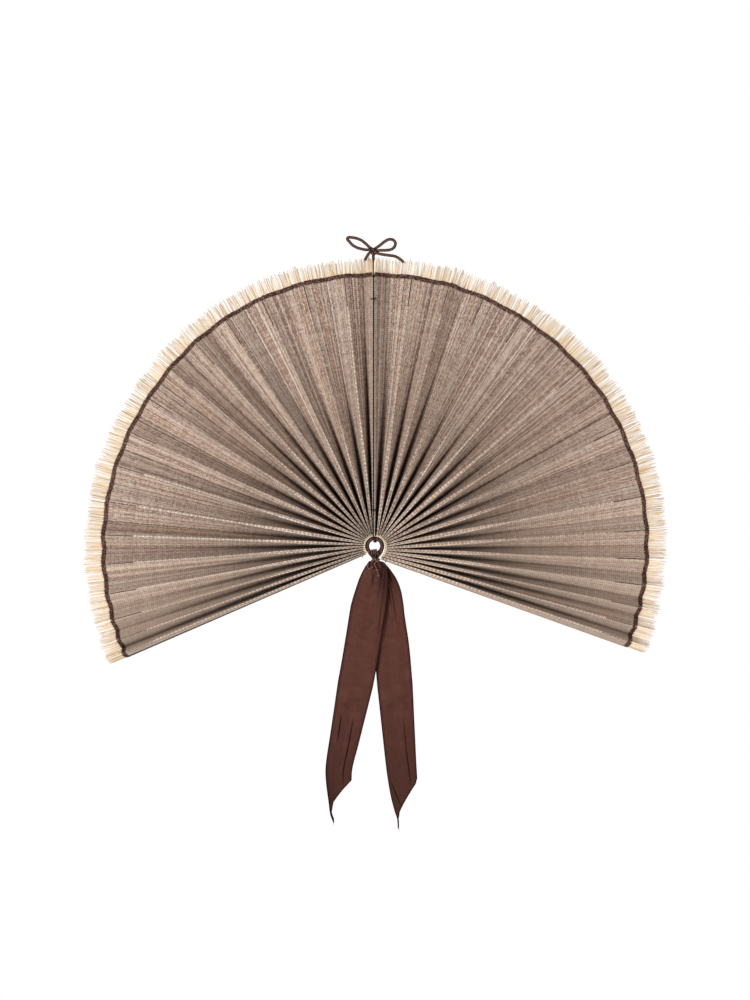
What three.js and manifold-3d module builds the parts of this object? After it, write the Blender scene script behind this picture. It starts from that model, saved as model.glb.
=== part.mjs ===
import * as THREE from 'three';
import { mergeVertices } from 'three/addons/utils/BufferGeometryUtils.js';
import Module from 'manifold-3d';

// Decorative wall fan: two pleated splint mats laced round a cord ring, sewn
// together along an upright seam, with a ribbon below and a cord bow on top.
// Millimetres. The fan spreads in the XZ plane, its front faces -Y, the wall is
// towards +Y, and the origin is the centre of the ring's eye.

// Sizes of the ring and the mats
const RING_OUTER_DIA = 30;
const RING_CORD = 6.5;
const RING_INSET = 4.5;
const MAT_ROOT = 15.8;
const HEM_START = 418;
const HEM_WIDTH = 6;
const HEM_SWELL = 0.5;
const MAT_THICKNESS = 0.9;
const PANEL_WIDTH = 31.5;
const RIM_DEPTH = 6.5;
const CREASE_GAP = 0.3;

// Fringe of bare splint ends
const FRINGE_LENGTH = 22.5;
const FRINGE_RAGGED = 5;
const FRINGE_SPLINT = 2.4;
const FRINGE_THICKNESS = 0.7;
const FRINGE_SPLINTS = 5;
const FRINGE_BURIED = 3;

// Creases against the wall, as degrees from +X on a circle through the mats
const CREASE_CIRCLE = 155.4;
const LEFT_CREASES = [93, 100.8, 110.2, 119, 127.5, 134.7, 142.1, 150.5, 158.4, 166, 174.2, 180.4,
  187.1, 193.6, 198.7, 203, 205.6];
const RIGHT_CREASES = [86.4, 77.1, 70.3, 61.6, 52, 44.4, 36.1, 29, 21.2, 13.7, 5.7, -1, -7.1, -12.8,
  -17.3, -22.1, -25.6];
const LEFT_START_OFFSET = 2.5;
const LEFT_SKEW = 4;
const LEFT_END_OFFSET = 6;
const RIGHT_START_OFFSET = 1.5;
const RIGHT_END_OFFSET = 16;
const SEAM_X = -2;

// Lacing through the mats' roots, seam cord and ties
const CLEARANCE = 0.3;
const LACING_DIA = 1.5;
const LACING_SETBACK = 8.7;
const LACING_KNOT_DIA = 2.8;
const SEAM_CORD_DIA = 2.2;
const TIE_DIA = 1.6;
const TIE_SPAN = 7.4;
const UPPER_TIE_Z = 384;
const LOWER_TIE_Z = 56;
const SEAM_STEP = 33;

// Cord that ties the ribbon to the ring
const TIE_CORD_DIA = 2.2;
const RING_TURNS = 3;
const NECK_TURNS = 1.75;
const TURN_PITCH = 2.9;
const COIL_SLACK = 0.3;
const KNOT_DIA = 4.2;
const TIE_DROP = 14.6;

// Ribbon
const RIBBON_WIDTH = 55;
const RIBBON_THICKNESS = 0.8;
const RIBBON_X = 1.5;
const RIBBON_GATHER_RADIUS = 6;
const RIBBON_LAYER = 5.6;
const FRONT_TAIL_LENGTH = 389;
const BACK_TAIL_LENGTH = 398.5;
const TAIL_FOLD = 1.3;
// How far above its tip each tail is cut down to which share of its width
const FRONT_TAIL_CUT = [[64, 1], [50, 0.65], [31, 0.2], [16, 0.08], [6, 0.1], [0, 0.04]];
const BACK_TAIL_CUT = [[77.5, 1], [68.5, 0.934], [49, 0.6], [25.3, 0.19], [14, 0.06], [0, 0.05]];
const GATHERED = 0.45;
const GATHER_FADE = 60;

// Bow of cord above the fringe
const BOW_CORD_DIA = 4.8;
const BOW_KNOT_Z = 458;
const BOW_KNOT_WIDTH = 10.6;
const BOW_KNOT_HEIGHT = 13;

const wasm = await Module();
wasm.setup();

const fan = new THREE.Group();
const splint = new THREE.MeshStandardMaterial({ color: 0x8a7468, roughness: 0.8, metalness: 0 });
const darkCord = new THREE.MeshStandardMaterial({ color: 0x3c2521, roughness: 0.7, metalness: 0 });
const thread = new THREE.MeshStandardMaterial({ color: 0x5a322a, roughness: 0.8, metalness: 0 });
const ribbonCloth = new THREE.MeshStandardMaterial({ color: 0x5a3830, roughness: 0.9, metalness: 0 });

function addNode(name, solid, material) {
  const mesh = solid.getMesh();
  const geometry = new THREE.BufferGeometry();
  geometry.setAttribute('position', new THREE.BufferAttribute(mesh.vertProperties, 3));
  geometry.setIndex(new THREE.BufferAttribute(mesh.triVerts, 1));
  const node = new THREE.Mesh(geometry, material.clone());
  node.name = name;
  fan.add(node);
}

function toSolid(geometry) {
  const bare = geometry.index ? geometry.clone() : geometry;
  bare.deleteAttribute('normal');
  bare.deleteAttribute('uv');
  const welded = mergeVertices(bare, 1e-4);
  return new wasm.Manifold(new wasm.Mesh({
    numProp: 3,
    vertProperties: new Float32Array(welded.attributes.position.array),
    triVerts: new Uint32Array(welded.index.array),
  }));
}

function capOf(outline) {
  return THREE.ShapeUtils.triangulateShape(outline.map(([x, y]) => new THREE.Vector2(x, y)), []);
}

// A closed skin over a row of rings with equally many points, capped at both ends.
// The sides named in crossed are split along their other diagonal, so that the two
// faces of a twisted sheet stay parallel.
function loft(rings, cap, crossed = []) {
  const count = rings[0].length;
  const positions = rings.flat().flatMap((p) => [p.x, p.y, p.z]);
  const index = [];
  for (let k = 0; k + 1 < rings.length; k += 1) {
    for (let i = 0; i < count; i += 1) {
      const j = (i + 1) % count;
      const a = k * count + i;
      const b = k * count + j;
      if (crossed.includes(i)) index.push(a, b, a + count, b, b + count, a + count);
      else index.push(a, b, b + count, a, b + count, a + count);
    }
  }
  const last = (rings.length - 1) * count;
  for (const [a, b, c] of cap) {
    index.push(a, c, b);
    index.push(last + a, last + b, last + c);
  }
  const geometry = new THREE.BufferGeometry();
  geometry.setAttribute('position', new THREE.Float32BufferAttribute(positions, 3));
  geometry.setIndex(index);
  const solid = toSolid(geometry);
  if (solid.volume() > 0) return solid;
  const turned = [];
  for (let i = 0; i < index.length; i += 3) turned.push(index[i], index[i + 2], index[i + 1]);
  geometry.setIndex(turned);
  return toSolid(geometry);
}

// A round cord along a curve, with rings square to it
function cord(curve, diameter, steps, sides = 8) {
  const shape = new THREE.Shape();
  for (let i = 0; i < sides; i += 1) {
    const angle = (2 * Math.PI * i) / sides;
    const x = (diameter / 2) * Math.cos(angle);
    const y = (diameter / 2) * Math.sin(angle);
    if (i === 0) shape.moveTo(x, y);
    else shape.lineTo(x, y);
  }
  shape.closePath();
  return toSolid(new THREE.ExtrudeGeometry(shape, { steps, extrudePath: curve, bevelEnabled: false }));
}

function smooth(points, tension = 0.5) {
  const route = points.map(([x, y, z]) => new THREE.Vector3(x, y, z));
  return new THREE.CatmullRomCurve3(route, false, 'centripetal', tension);
}

function ball(x, y, z, width, depth, height, across = 10, down = 7) {
  const sphere = new THREE.SphereGeometry(0.5, across, down);
  sphere.scale(width, depth, height);
  sphere.translate(x, y, z);
  return toSolid(sphere);
}

function union(solids) {
  return solids.reduce((all, one) => all.add(one));
}

// Least distance between parts of one cord that lie further apart along it than its own bend
function selfGap(points, diameter) {
  let least = Infinity;
  const lengths = [0];
  for (let i = 1; i < points.length; i += 1) {
    lengths.push(lengths[i - 1] + points[i].distanceTo(points[i - 1]));
  }
  for (let i = 0; i < points.length; i += 1) {
    for (let j = i + 1; j < points.length; j += 1) {
      if (lengths[j] - lengths[i] > 3.2 * diameter) {
        least = Math.min(least, points[i].distanceTo(points[j]) - diameter);
      }
    }
  }
  return least;
}

// Depths: the ring is centred on y = 0 and the mats' creases lie on the wall
const ringRadius = (RING_OUTER_DIA - RING_CORD) / 2;
const frontY = -(RING_CORD / 2 + RING_INSET);
const wallY = frontY + PANEL_WIDTH;
const hemEnd = HEM_START + HEM_WIDTH;

// One crease line against the wall: where it lies at each distance along itself
function crease(side, index, list) {
  const u = index / (list.length - 1);
  const leftOffset = LEFT_START_OFFSET * (1 - u) ** 2 - LEFT_SKEW * Math.sin(Math.PI * u)
    + LEFT_END_OFFSET * u ** 3;
  const rightOffset = RIGHT_START_OFFSET + (RIGHT_END_OFFSET - RIGHT_START_OFFSET) * u ** 4;
  const offset = side > 0 ? leftOffset : rightOffset;
  const polar = (list[index] * Math.PI) / 180;
  const angle = polar - side * Math.asin(offset / CREASE_CIRCLE);
  const out = [-side * Math.sin(angle) * offset, side * Math.cos(angle) * offset];
  return (r) => [r * Math.cos(angle) + out[0], r * Math.sin(angle) + out[1]];
}

// The seam is an upright line between the two mats
const seamLine = (r) => [SEAM_X, r];

function stations() {
  const plain = [MAT_ROOT, 240, 350].map((r) => [r, MAT_THICKNESS]);
  const thick = MAT_THICKNESS + HEM_SWELL;
  return [...plain, [HEM_START, MAT_THICKNESS], [HEM_START + 0.6, thick], [hemEnd, thick]];
}

// How far the fold stands off the wall where the pleat is this wide
function foldDepth(width) {
  const rigid = PANEL_WIDTH ** 2 - (width / 2) ** 2;
  return Math.sqrt(Math.max(rigid, RIM_DEPTH ** 2));
}

// Place a point of a pleat's section, s from 0 to 1 between its two lines
function place(lineA, lineB, r, s, y) {
  const a = lineA(r);
  const b = lineB(r);
  const width = Math.hypot(b[0] - a[0], b[1] - a[1]);
  const bulge = ((width * width) / (8 * r)) * (1 - (2 * s - 1) ** 2);
  const middle = [(a[0] + b[0]) / 2, (a[1] + b[1]) / 2];
  const size = Math.hypot(middle[0], middle[1]);
  return new THREE.Vector3(
    a[0] + (b[0] - a[0]) * s + (middle[0] / size) * bulge,
    y,
    a[1] + (b[1] - a[1]) * s + (middle[1] / size) * bulge,
  );
}

function between(lineA, lineB, r) {
  const a = lineA(r);
  const b = lineB(r);
  return Math.hypot(b[0] - a[0], b[1] - a[1]);
}

// Section of a whole pleat: two panels that meet in a fold towards the front
function pleatSection(width, depth, thickness) {
  const half = width / 2 - CREASE_GAP / 2;
  const leg = Math.min(thickness, 0.42 * half);
  const foot = wallY - thickness;
  const top = wallY - depth;
  return [[-half, wallY], [-half, foot], [-leg, top], [leg, top], [half, foot], [half, wallY],
    [half - leg, wallY], [0, top + thickness], [leg - half, wallY]];
}

// Section of a half pleat, from its crease to the seam, which is its front edge
function halfSection(width, depth, thickness) {
  const near = CREASE_GAP / 2;
  const far = width - CREASE_GAP / 2;
  const leg = Math.min(thickness, 0.42 * (far - near));
  const top = wallY - depth;
  return [[near, wallY], [near, wallY - thickness], [far - leg, top], [far, top],
    [far, top + thickness], [near + leg, wallY]];
}

// One bare splint end, flat and thinned to its tip
function fringeSplint(lineA, lineB, s0, s1, y0, y1, part, reach) {
  const rows = [hemEnd - FRINGE_BURIED, hemEnd + reach].map((r, end) => {
    const at = (share) => {
      const s = s0 + (s1 - s0) * share;
      return place(lineA, lineB, r, s, y0 + (y1 - y0) * share);
    };
    const centre = at(part);
    const along = at(part + 0.05).sub(at(part - 0.05)).normalize();
    const outward = new THREE.Vector3(centre.x, 0, centre.z).normalize();
    const normal = new THREE.Vector3().crossVectors(along, outward).normalize();
    const thin = end === 0 ? FRINGE_THICKNESS / 2 : FRINGE_THICKNESS / 5;
    const broad = (end === 0 ? 1 : 0.8) * (FRINGE_SPLINT / 2);
    return [[-broad, -thin], [broad, -thin], [0, thin]].map(([a, n]) => centre
      .clone().addScaledVector(along, a).addScaledVector(normal, n));
  });
  return loft(rows, [[0, 1, 2]]);
}

// A repeatable uneven number between -1 and 1
function uneven(seed) {
  const wave = Math.sin(seed * 127.1 + 11.7) * 43758.5453;
  return 2 * (wave - Math.floor(wave)) - 1;
}

function fringe(lineA, lineB, s0, s1, y0, y1, seed) {
  const pieces = [];
  for (let i = 0; i < FRINGE_SPLINTS; i += 1) {
    const reach = FRINGE_LENGTH + FRINGE_RAGGED * uneven(seed + i) * 0.5;
    const part = (i + 0.6) / (FRINGE_SPLINTS + 0.2);
    pieces.push(fringeSplint(lineA, lineB, s0, s1, y0, y1, part, reach));
  }
  return pieces;
}

function makePleat(lineA, lineB, seed) {
  const rings = [];
  let outline = [];
  for (const [r, thickness] of stations()) {
    const width = between(lineA, lineB, r);
    outline = pleatSection(width, foldDepth(width), thickness);
    rings.push(outline.map(([u, y]) => place(lineA, lineB, r, u / width + 0.5, y)));
  }
  const width = between(lineA, lineB, hemEnd);
  const half = (MAT_THICKNESS + HEM_SWELL) / 2;
  const foot = wallY - half;
  const top = wallY - foldDepth(width) + half;
  const near = (CREASE_GAP / 2 + half) / width;
  const ridge = 0.5 - half / width;
  return union([
    loft(rings, capOf(outline), [3, 7]),
    ...fringe(lineA, lineB, near, ridge, foot, top, seed),
    ...fringe(lineA, lineB, 1 - ridge, 1 - near, top, foot, seed + 50),
  ]);
}

// The two narrow panels beside the seam share the depth of the pleat that they make together
function makeCentrePanel(line, otherLine, seed) {
  const rings = [];
  let outline = [];
  for (const [r, thickness] of stations()) {
    const width = between(line, seamLine, r);
    outline = halfSection(width, foldDepth(between(line, otherLine, r)), thickness);
    rings.push(outline.map(([u, y]) => place(line, seamLine, r, u / width, y)));
  }
  const half = (MAT_THICKNESS + HEM_SWELL) / 2;
  const top = wallY - foldDepth(between(line, otherLine, hemEnd)) + half;
  const near = (CREASE_GAP / 2 + half) / between(line, seamLine, hemEnd);
  const body = loft(rings, capOf(outline), [4]);
  return union([body, ...fringe(line, seamLine, near, 1 - near, wallY - half, top, seed)]);
}

const leftLines = LEFT_CREASES.map((_, i) => crease(1, i, LEFT_CREASES));
const rightLines = RIGHT_CREASES.map((_, i) => crease(-1, i, RIGHT_CREASES));

// Lacing thread through every panel, a little way in from the root
const lacingR = MAT_ROOT + LACING_SETBACK;
const lacingY = frontY + PANEL_WIDTH / 2;
function lacingRoute(overrun) {
  const points = [...leftLines].reverse().concat(rightLines).map((line) => line(lacingR));
  const ends = [[0, 1], [points.length - 1, points.length - 2]].map(([end, next]) => {
    const step = [points[end][0] - points[next][0], points[end][1] - points[next][1]];
    const size = Math.hypot(step[0], step[1]);
    return [points[end][0] + (step[0] / size) * overrun, points[end][1] + (step[1] / size) * overrun];
  });
  return [ends[0], ...points, ends[1]].map(([x, z]) => [x, lacingY, z]);
}
const knotReach = CLEARANCE + LACING_KNOT_DIA / 2 - CREASE_GAP / 2;
const lacingPoints = lacingRoute(knotReach);
const lacingHole = cord(smooth(lacingRoute(knotReach + 4)), LACING_DIA + 2 * CLEARANCE, 36, 5);
const lacingEnds = [lacingPoints[0], lacingPoints[lacingPoints.length - 1]];
const lacing = union([
  cord(smooth(lacingPoints), LACING_DIA, 36, 5),
  ...lacingEnds.map(([x, y, z]) => ball(x, y, z, LACING_KNOT_DIA, LACING_KNOT_DIA, LACING_KNOT_DIA, 8, 5)),
]);

// Depth of the seam's front edge, straight from one station of the mats to the next
function seamFrontY(z) {
  const rows = stations().map(([r]) => [r, foldDepth(between(leftLines[0], rightLines[0], r))]);
  const next = Math.max(1, rows.findIndex(([r]) => r >= z));
  const [[r0, d0], [r1, d1]] = z > hemEnd ? rows.slice(-2) : rows.slice(next - 1, next + 1);
  return wallY - (d0 + (d1 - d0) * Math.min(1, (z - r0) / (r1 - r0)));
}

// How far behind the seam's front edge a round piece finds room between the two panels
function wedgeSeat(z, radius) {
  const steep = [leftLines[0], rightLines[0]].map((line) => between(line, seamLine, z));
  const slope = Math.atan2(Math.min(...steep), wallY - seamFrontY(z));
  return MAT_THICKNESS + (radius + 2 * CLEARANCE) / Math.sin(slope);
}

// Ties through both narrow panels: a closed loop of thread round the seam
const tieHalf = TIE_SPAN / 2;
function tieLoop(z, back) {
  const front = seamFrontY(z) - CLEARANCE - SEAM_CORD_DIA - CLEARANCE - TIE_DIA / 2;
  const rear = seamFrontY(z) + back;
  const middle = (front + rear) / 2;
  const reach = (rear - front) / 2;
  const points = [];
  for (let i = 0; i < 16; i += 1) {
    const angle = (2 * Math.PI * i) / 16;
    const sharp = (v) => Math.sign(v) * Math.abs(v) ** 0.6;
    points.push(new THREE.Vector3(SEAM_X + tieHalf * sharp(Math.cos(angle)),
      middle + reach * sharp(Math.sin(angle)), z));
  }
  return new THREE.CatmullRomCurve3(points, true, 'centripetal');
}

function closedCord(curve, diameter, steps, sides) {
  const points = curve.getSpacedPoints(steps).slice(0, steps);
  const rings = [];
  const centre = points.reduce((sum, p) => sum.add(p), new THREE.Vector3()).divideScalar(steps);
  for (let i = 0; i < steps; i += 1) {
    const ahead = points[(i + 1) % steps].clone().sub(points[(i + steps - 1) % steps]).normalize();
    const inward = points[i].clone().sub(centre).normalize();
    const side = new THREE.Vector3().crossVectors(ahead, inward).normalize();
    const up = new THREE.Vector3().crossVectors(side, ahead).normalize();
    const ring = [];
    for (let k = 0; k < sides; k += 1) {
      const angle = (2 * Math.PI * k) / sides;
      ring.push(points[i].clone().addScaledVector(up, (diameter / 2) * Math.cos(angle))
        .addScaledVector(side, (diameter / 2) * Math.sin(angle)));
    }
    rings.push(ring);
  }
  const index = [];
  for (let i = 0; i < steps; i += 1) {
    for (let k = 0; k < sides; k += 1) {
      const a = i * sides + k;
      const b = i * sides + ((k + 1) % sides);
      const c = ((i + 1) % steps) * sides + ((k + 1) % sides);
      const d = ((i + 1) % steps) * sides + k;
      index.push(a, b, c, a, c, d);
    }
  }
  const geometry = new THREE.BufferGeometry();
  const flat = rings.flat().flatMap((p) => [p.x, p.y, p.z]);
  geometry.setAttribute('position', new THREE.Float32BufferAttribute(flat, 3));
  geometry.setIndex(index);
  const solid = toSolid(geometry);
  if (solid.volume() > 0) return solid;
  const turned = [];
  for (let i = 0; i < index.length; i += 3) turned.push(index[i], index[i + 2], index[i + 1]);
  geometry.setIndex(turned);
  return toSolid(geometry);
}

const bowStandY = wedgeSeat(UPPER_TIE_Z, BOW_CORD_DIA / 2) + HEM_SWELL;
const upperTieCurve = tieLoop(UPPER_TIE_Z, bowStandY + BOW_CORD_DIA / 2 + CLEARANCE + TIE_DIA);
const lowerTieCurve = tieLoop(LOWER_TIE_Z, MAT_THICKNESS + CLEARANCE + 2 * TIE_DIA);
const upperTie = closedCord(upperTieCurve, TIE_DIA, 18, 5);
const lowerTie = closedCord(lowerTieCurve, TIE_DIA, 18, 5);
const tieHoles = union([
  closedCord(upperTieCurve, TIE_DIA + 3 * CLEARANCE, 18, 5),
  closedCord(lowerTieCurve, TIE_DIA + 3 * CLEARANCE, 18, 5),
]);

// The mats: two narrow centre panels and the pleats out to each side
addNode('left_centre_panel', makeCentrePanel(leftLines[0], rightLines[0], 3)
  .subtract(lacingHole).subtract(tieHoles), splint);
addNode('right_centre_panel', makeCentrePanel(rightLines[0], leftLines[0], 7)
  .subtract(lacingHole).subtract(tieHoles), splint);
[['left', leftLines], ['right', rightLines]].forEach(([side, lines], s) => {
  for (let i = 0; i + 1 < lines.length; i += 1) {
    const solid = makePleat(lines[i], lines[i + 1], 100 * i + 1000 * s + 17);
    const number = String(i + 1).padStart(2, '0');
    const cuts = i === 0 ? lacingHole.add(tieHoles) : lacingHole;
    addNode(`${side}_pleat_${number}`, solid.subtract(cuts), splint);
  }
});
addNode('root_lacing', lacing, thread);
addNode('upper_seam_tie', upperTie, thread);
addNode('lower_seam_tie', lowerTie, thread);

// Ring of wound cord
const ringSection = [];
for (let i = 0; i <= 8; i += 1) {
  const angle = (2 * Math.PI * i) / 8;
  ringSection.push(new THREE.Vector2(ringRadius + (RING_CORD / 2) * Math.cos(angle),
    (RING_CORD / 2) * Math.sin(angle)));
}
addNode('ring', toSolid(new THREE.LatheGeometry(ringSection, 28)), darkCord);

// Seam cord: from a knot behind the hem, along the seam, then once round the ring's top
const seamCordR = SEAM_CORD_DIA / 2;
const hugging = RING_CORD / 2 + CLEARANCE + COIL_SLACK + seamCordR;
const seamKnotZ = HEM_START - 6;
const seamKnotDia = 4;
const seamKnotY = seamFrontY(seamKnotZ) + wedgeSeat(seamKnotZ, seamKnotDia / 2);
const seamPoints = [[SEAM_X, seamKnotY, seamKnotZ]];
for (let z = seamKnotZ; z > MAT_ROOT + 12; z -= SEAM_STEP) {
  seamPoints.push([SEAM_X, seamFrontY(z) - CLEARANCE - seamCordR, z]);
}
seamPoints.push([SEAM_X * 0.8, frontY - CLEARANCE - seamCordR - 0.9, MAT_ROOT - 0.7]);
const loopPoints = seamPoints.slice(-2);
for (let i = 0; i <= 8; i += 1) {
  const angle = Math.PI * (0.86 + 0.155 * i);
  loopPoints.push([(i - 3) * 0.42, hugging * Math.cos(angle), ringRadius + hugging * Math.sin(angle)]);
}
const seamHead = smooth(seamPoints.slice(0, 3));
const seamHole = cord(seamHead, SEAM_CORD_DIA + 2 * CLEARANCE, 10, 6);
const seamCord = union([
  cord(seamHead, SEAM_CORD_DIA, 10, 6),
  cord(smooth(seamPoints.slice(1)), SEAM_CORD_DIA, 12, 6),
  cord(smooth(loopPoints), SEAM_CORD_DIA, 16, 6),
  ball(...seamPoints[0], seamKnotDia, seamKnotDia, seamKnotDia, 8, 5),
]);
for (const name of ['left_centre_panel', 'right_centre_panel']) {
  const node = fan.getObjectByName(name);
  const cut = toSolid(node.geometry).subtract(seamHole);
  fan.remove(node);
  addNode(name, cut, splint);
}
addNode('seam_cord', seamCord, thread);

// Tie cord: left end, turns round the ribbon's neck, turns round the ring, right end
const tieR = TIE_CORD_DIA / 2;
const coilR = RING_CORD / 2 + CLEARANCE + COIL_SLACK + tieR;
const neckHalfX = 4.5;
const neckHalfY = 2;
const neckY = -(coilR + tieR + neckHalfY + 2.2);
const neckTopZ = -ringRadius - coilR - tieR - 0.6;
const neckTurnX = neckHalfX + CLEARANCE + COIL_SLACK + tieR;
const neckTurnY = neckHalfY + CLEARANCE + COIL_SLACK + tieR;
const ribbonMiddleY = neckY - 3;
const frontTailY = ribbonMiddleY - RIBBON_LAYER / 2;
const backTailY = ribbonMiddleY + RIBBON_LAYER / 2;
const neckDrop = NECK_TURNS * TURN_PITCH;
const gatherZ = neckTopZ - 2 * tieR - neckDrop - CLEARANCE - COIL_SLACK - RIBBON_GATHER_RADIUS;
const cordFrontY = frontTailY - TAIL_FOLD - RIBBON_THICKNESS - tieR - 2;
const tiePoints = [
  [-4.6, cordFrontY - 0.4, gatherZ - 0.5],
  [-7.6, cordFrontY - 0.8, gatherZ - 3.2],
  [-10.6, cordFrontY, gatherZ - 0.8],
  [-10.2, cordFrontY + 1.6, gatherZ + 4.6],
  [-7.6, cordFrontY + 6.4, gatherZ + 8.2],
];
for (let i = 0; i <= 8 * NECK_TURNS; i += 1) {
  const angle = Math.PI * 1.25 + (2 * Math.PI * i) / 8;
  tiePoints.push([RIBBON_X + neckTurnX * Math.cos(angle), neckY + neckTurnY * Math.sin(angle),
    neckTopZ - tieR - neckDrop + (TURN_PITCH * i) / 8]);
}
const coilStart = -(RING_TURNS * TURN_PITCH) / 2;
tiePoints.push([RIBBON_X - neckTurnX + 0.4, -coilR - 2.4, -ringRadius - coilR - 0.6]);
for (let i = 0; i <= 8 * RING_TURNS; i += 1) {
  const angle = Math.PI * 1.12 + (2 * Math.PI * i) / 8;
  const x = coilStart + (TURN_PITCH * i) / 8;
  const lift = ringRadius - Math.sqrt(ringRadius ** 2 - x ** 2);
  tiePoints.push([x, coilR * Math.cos(angle), -ringRadius + lift - coilR * Math.sin(angle)]);
}
tiePoints.push([6, neckY - 4, neckTopZ + 2.6]);
tiePoints.push([5.6, cordFrontY + 0.6, neckTopZ - 3.4]);
tiePoints.push([3.6, cordFrontY, gatherZ + 1]);
tiePoints.push([4.4, cordFrontY, gatherZ - 7]);
tiePoints.push([5.4, cordFrontY, gatherZ - TIE_DROP]);
const tieCurve = smooth(tiePoints);
const tieEnd = tiePoints[tiePoints.length - 1];
const tieKnots = [[3.9, cordFrontY, gatherZ - 5.2], tieEnd, tiePoints[0]];
addNode('ring_tie_cord', union([
  cord(tieCurve, TIE_CORD_DIA, 92, 6),
  ...tieKnots.map(([x, y, z]) => ball(x, y, z, KNOT_DIA, KNOT_DIA, KNOT_DIA * 1.1, 8, 5)),
]), darkCord);
console.log('tie cord self gap', selfGap(tieCurve.getSpacedPoints(600), TIE_CORD_DIA).toFixed(2));

// Gathered part of the ribbon: a flat neck in the turns of cord, over a rounded knot
const gatherFront = frontTailY - RIBBON_THICKNESS - TAIL_FOLD - 0.6;
const gatherBack = backTailY + RIBBON_THICKNESS + TAIL_FOLD + 0.6;
const gatherProfile = [];
for (let i = 0; i <= 10; i += 1) {
  const t = i / 10;
  const y = gatherFront + (gatherBack - gatherFront) * t;
  const round = Math.min(1, Math.sqrt(Math.max(0, 1 - Math.abs(2 * t - 1) ** 7)));
  gatherProfile.push(new THREE.Vector2(i === 0 || i === 10 ? 0 : RIBBON_GATHER_RADIUS * round, y));
}
const gatherKnot = new THREE.LatheGeometry(gatherProfile, 16);
gatherKnot.translate(RIBBON_X, 0, gatherZ);
const neckTop = neckTopZ + 0.4;
const neckStem = new THREE.CylinderGeometry(1, 1, neckTop - gatherZ, 14);
neckStem.rotateX(Math.PI / 2);
neckStem.scale(neckHalfX, neckHalfY, 1);
neckStem.translate(RIBBON_X, neckY, (neckTop + gatherZ) / 2);
addNode('ribbon_gather', union([toSolid(gatherKnot), toSolid(neckStem)]), ribbonCloth);

// A hanging ribbon tail: a pleated top round the gather, soft folds down to a slanted point
function ribbonTail(route, y, length, narrowing, phase, tailCut) {
  const columns = 10;
  const middle = new THREE.CatmullRomCurve3(route.map(([x, z]) => new THREE.Vector3(x, 0, z)));
  const hugR = RIBBON_GATHER_RADIUS + CLEARANCE + 0.1;
  const whole = [0, 0.03, 0.07, 0.13, 0.2, 0.3, 0.42, 0.54, 0.66, 0.76];
  const rows = [...whole, ...tailCut.map(([drop]) => 1 - drop / length)];
  const rings = rows.map((v) => {
    const centre = middle.getPointAt(v);
    const upright = Math.min(1, Math.max(0, (v - 0.7) / 0.1));
    const along = middle.getTangentAt(v).lerp(new THREE.Vector3(0, 0, -1), upright).normalize();
    const across = new THREE.Vector3(-along.z, 0, along.x);
    const drawn = GATHERED + (1 - GATHERED) * Math.min(1, (v * length) / GATHER_FADE) ** 0.4;
    const width = RIBBON_WIDTH * drawn * (1 - narrowing * Math.max(0, v - 0.45));
    const kept = tailCut[rows.indexOf(v) - whole.length]?.[1] ?? 1;
    const low = -width / 2;
    const high = low + kept * width;
    const fold = TAIL_FOLD * (1 - 0.35 * v);
    const front = [];
    const back = [];
    for (let i = 0; i < columns; i += 1) {
      const s = i / (columns - 1);
      const u = low + (high - low) * s;
      const wave = Math.sin(2 * Math.PI * (1.6 + 0.9 * (1 - v)) * (u / width) + phase + 1.2 * v);
      const point = centre.clone().addScaledVector(across, u);
      if (v === 0) {
        const angle = Math.PI * (1.5 + 0.62 * (s - 0.5) * 1.9);
        point.x = RIBBON_X + hugR * Math.cos(angle);
        point.z = gatherZ + hugR * Math.sin(angle);
      }
      if (v === 0) point.y = y;
      else point.y = y + fold * wave;
      front.push(point.clone().setY(point.y - RIBBON_THICKNESS / 2));
      back.push(point.clone().setY(point.y + RIBBON_THICKNESS / 2));
    }
    return [...front, ...back.reverse()];
  });
  const cap = [];
  for (let i = 0; i + 1 < columns; i += 1) {
    const behind = 2 * columns - 1 - i;
    cap.push([i, i + 1, behind - 1], [i, behind - 1, behind]);
  }
  return loft(rings, cap);
}
const topZ = gatherZ - RIBBON_GATHER_RADIUS;
const onTail = (route, length) => route.map(([x, part]) => [RIBBON_X + x, topZ - part * length]);
const frontRoute = onTail([[0, 0], [-5, 0.07], [-10.7, 0.139], [-18.5, 0.262], [-27.5, 0.399], [-37.5, 0.532],
  [-47, 0.655], [-56.8, 0.788], [-57, 0.84], [-54.5, 0.921], [-52.8, 0.97], [-49, 1]], FRONT_TAIL_LENGTH);
const backRoute = onTail([[0, 0], [13, 0.076], [17.5, 0.177], [24.5, 0.295], [29.5, 0.433], [35.5, 0.625],
  [41.3, 0.8], [45.6, 0.877], [50.9, 0.9365], [54.3, 0.965], [55, 1]], BACK_TAIL_LENGTH);
const frontTail = ribbonTail(frontRoute, frontTailY, FRONT_TAIL_LENGTH, 0.72, 0.4, FRONT_TAIL_CUT);
const backTail = ribbonTail(backRoute, backTailY, BACK_TAIL_LENGTH, 0.45, 2.1, BACK_TAIL_CUT);
addNode('ribbon_front_tail', frontTail, ribbonCloth);
addNode('ribbon_back_tail', backTail, ribbonCloth);

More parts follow.
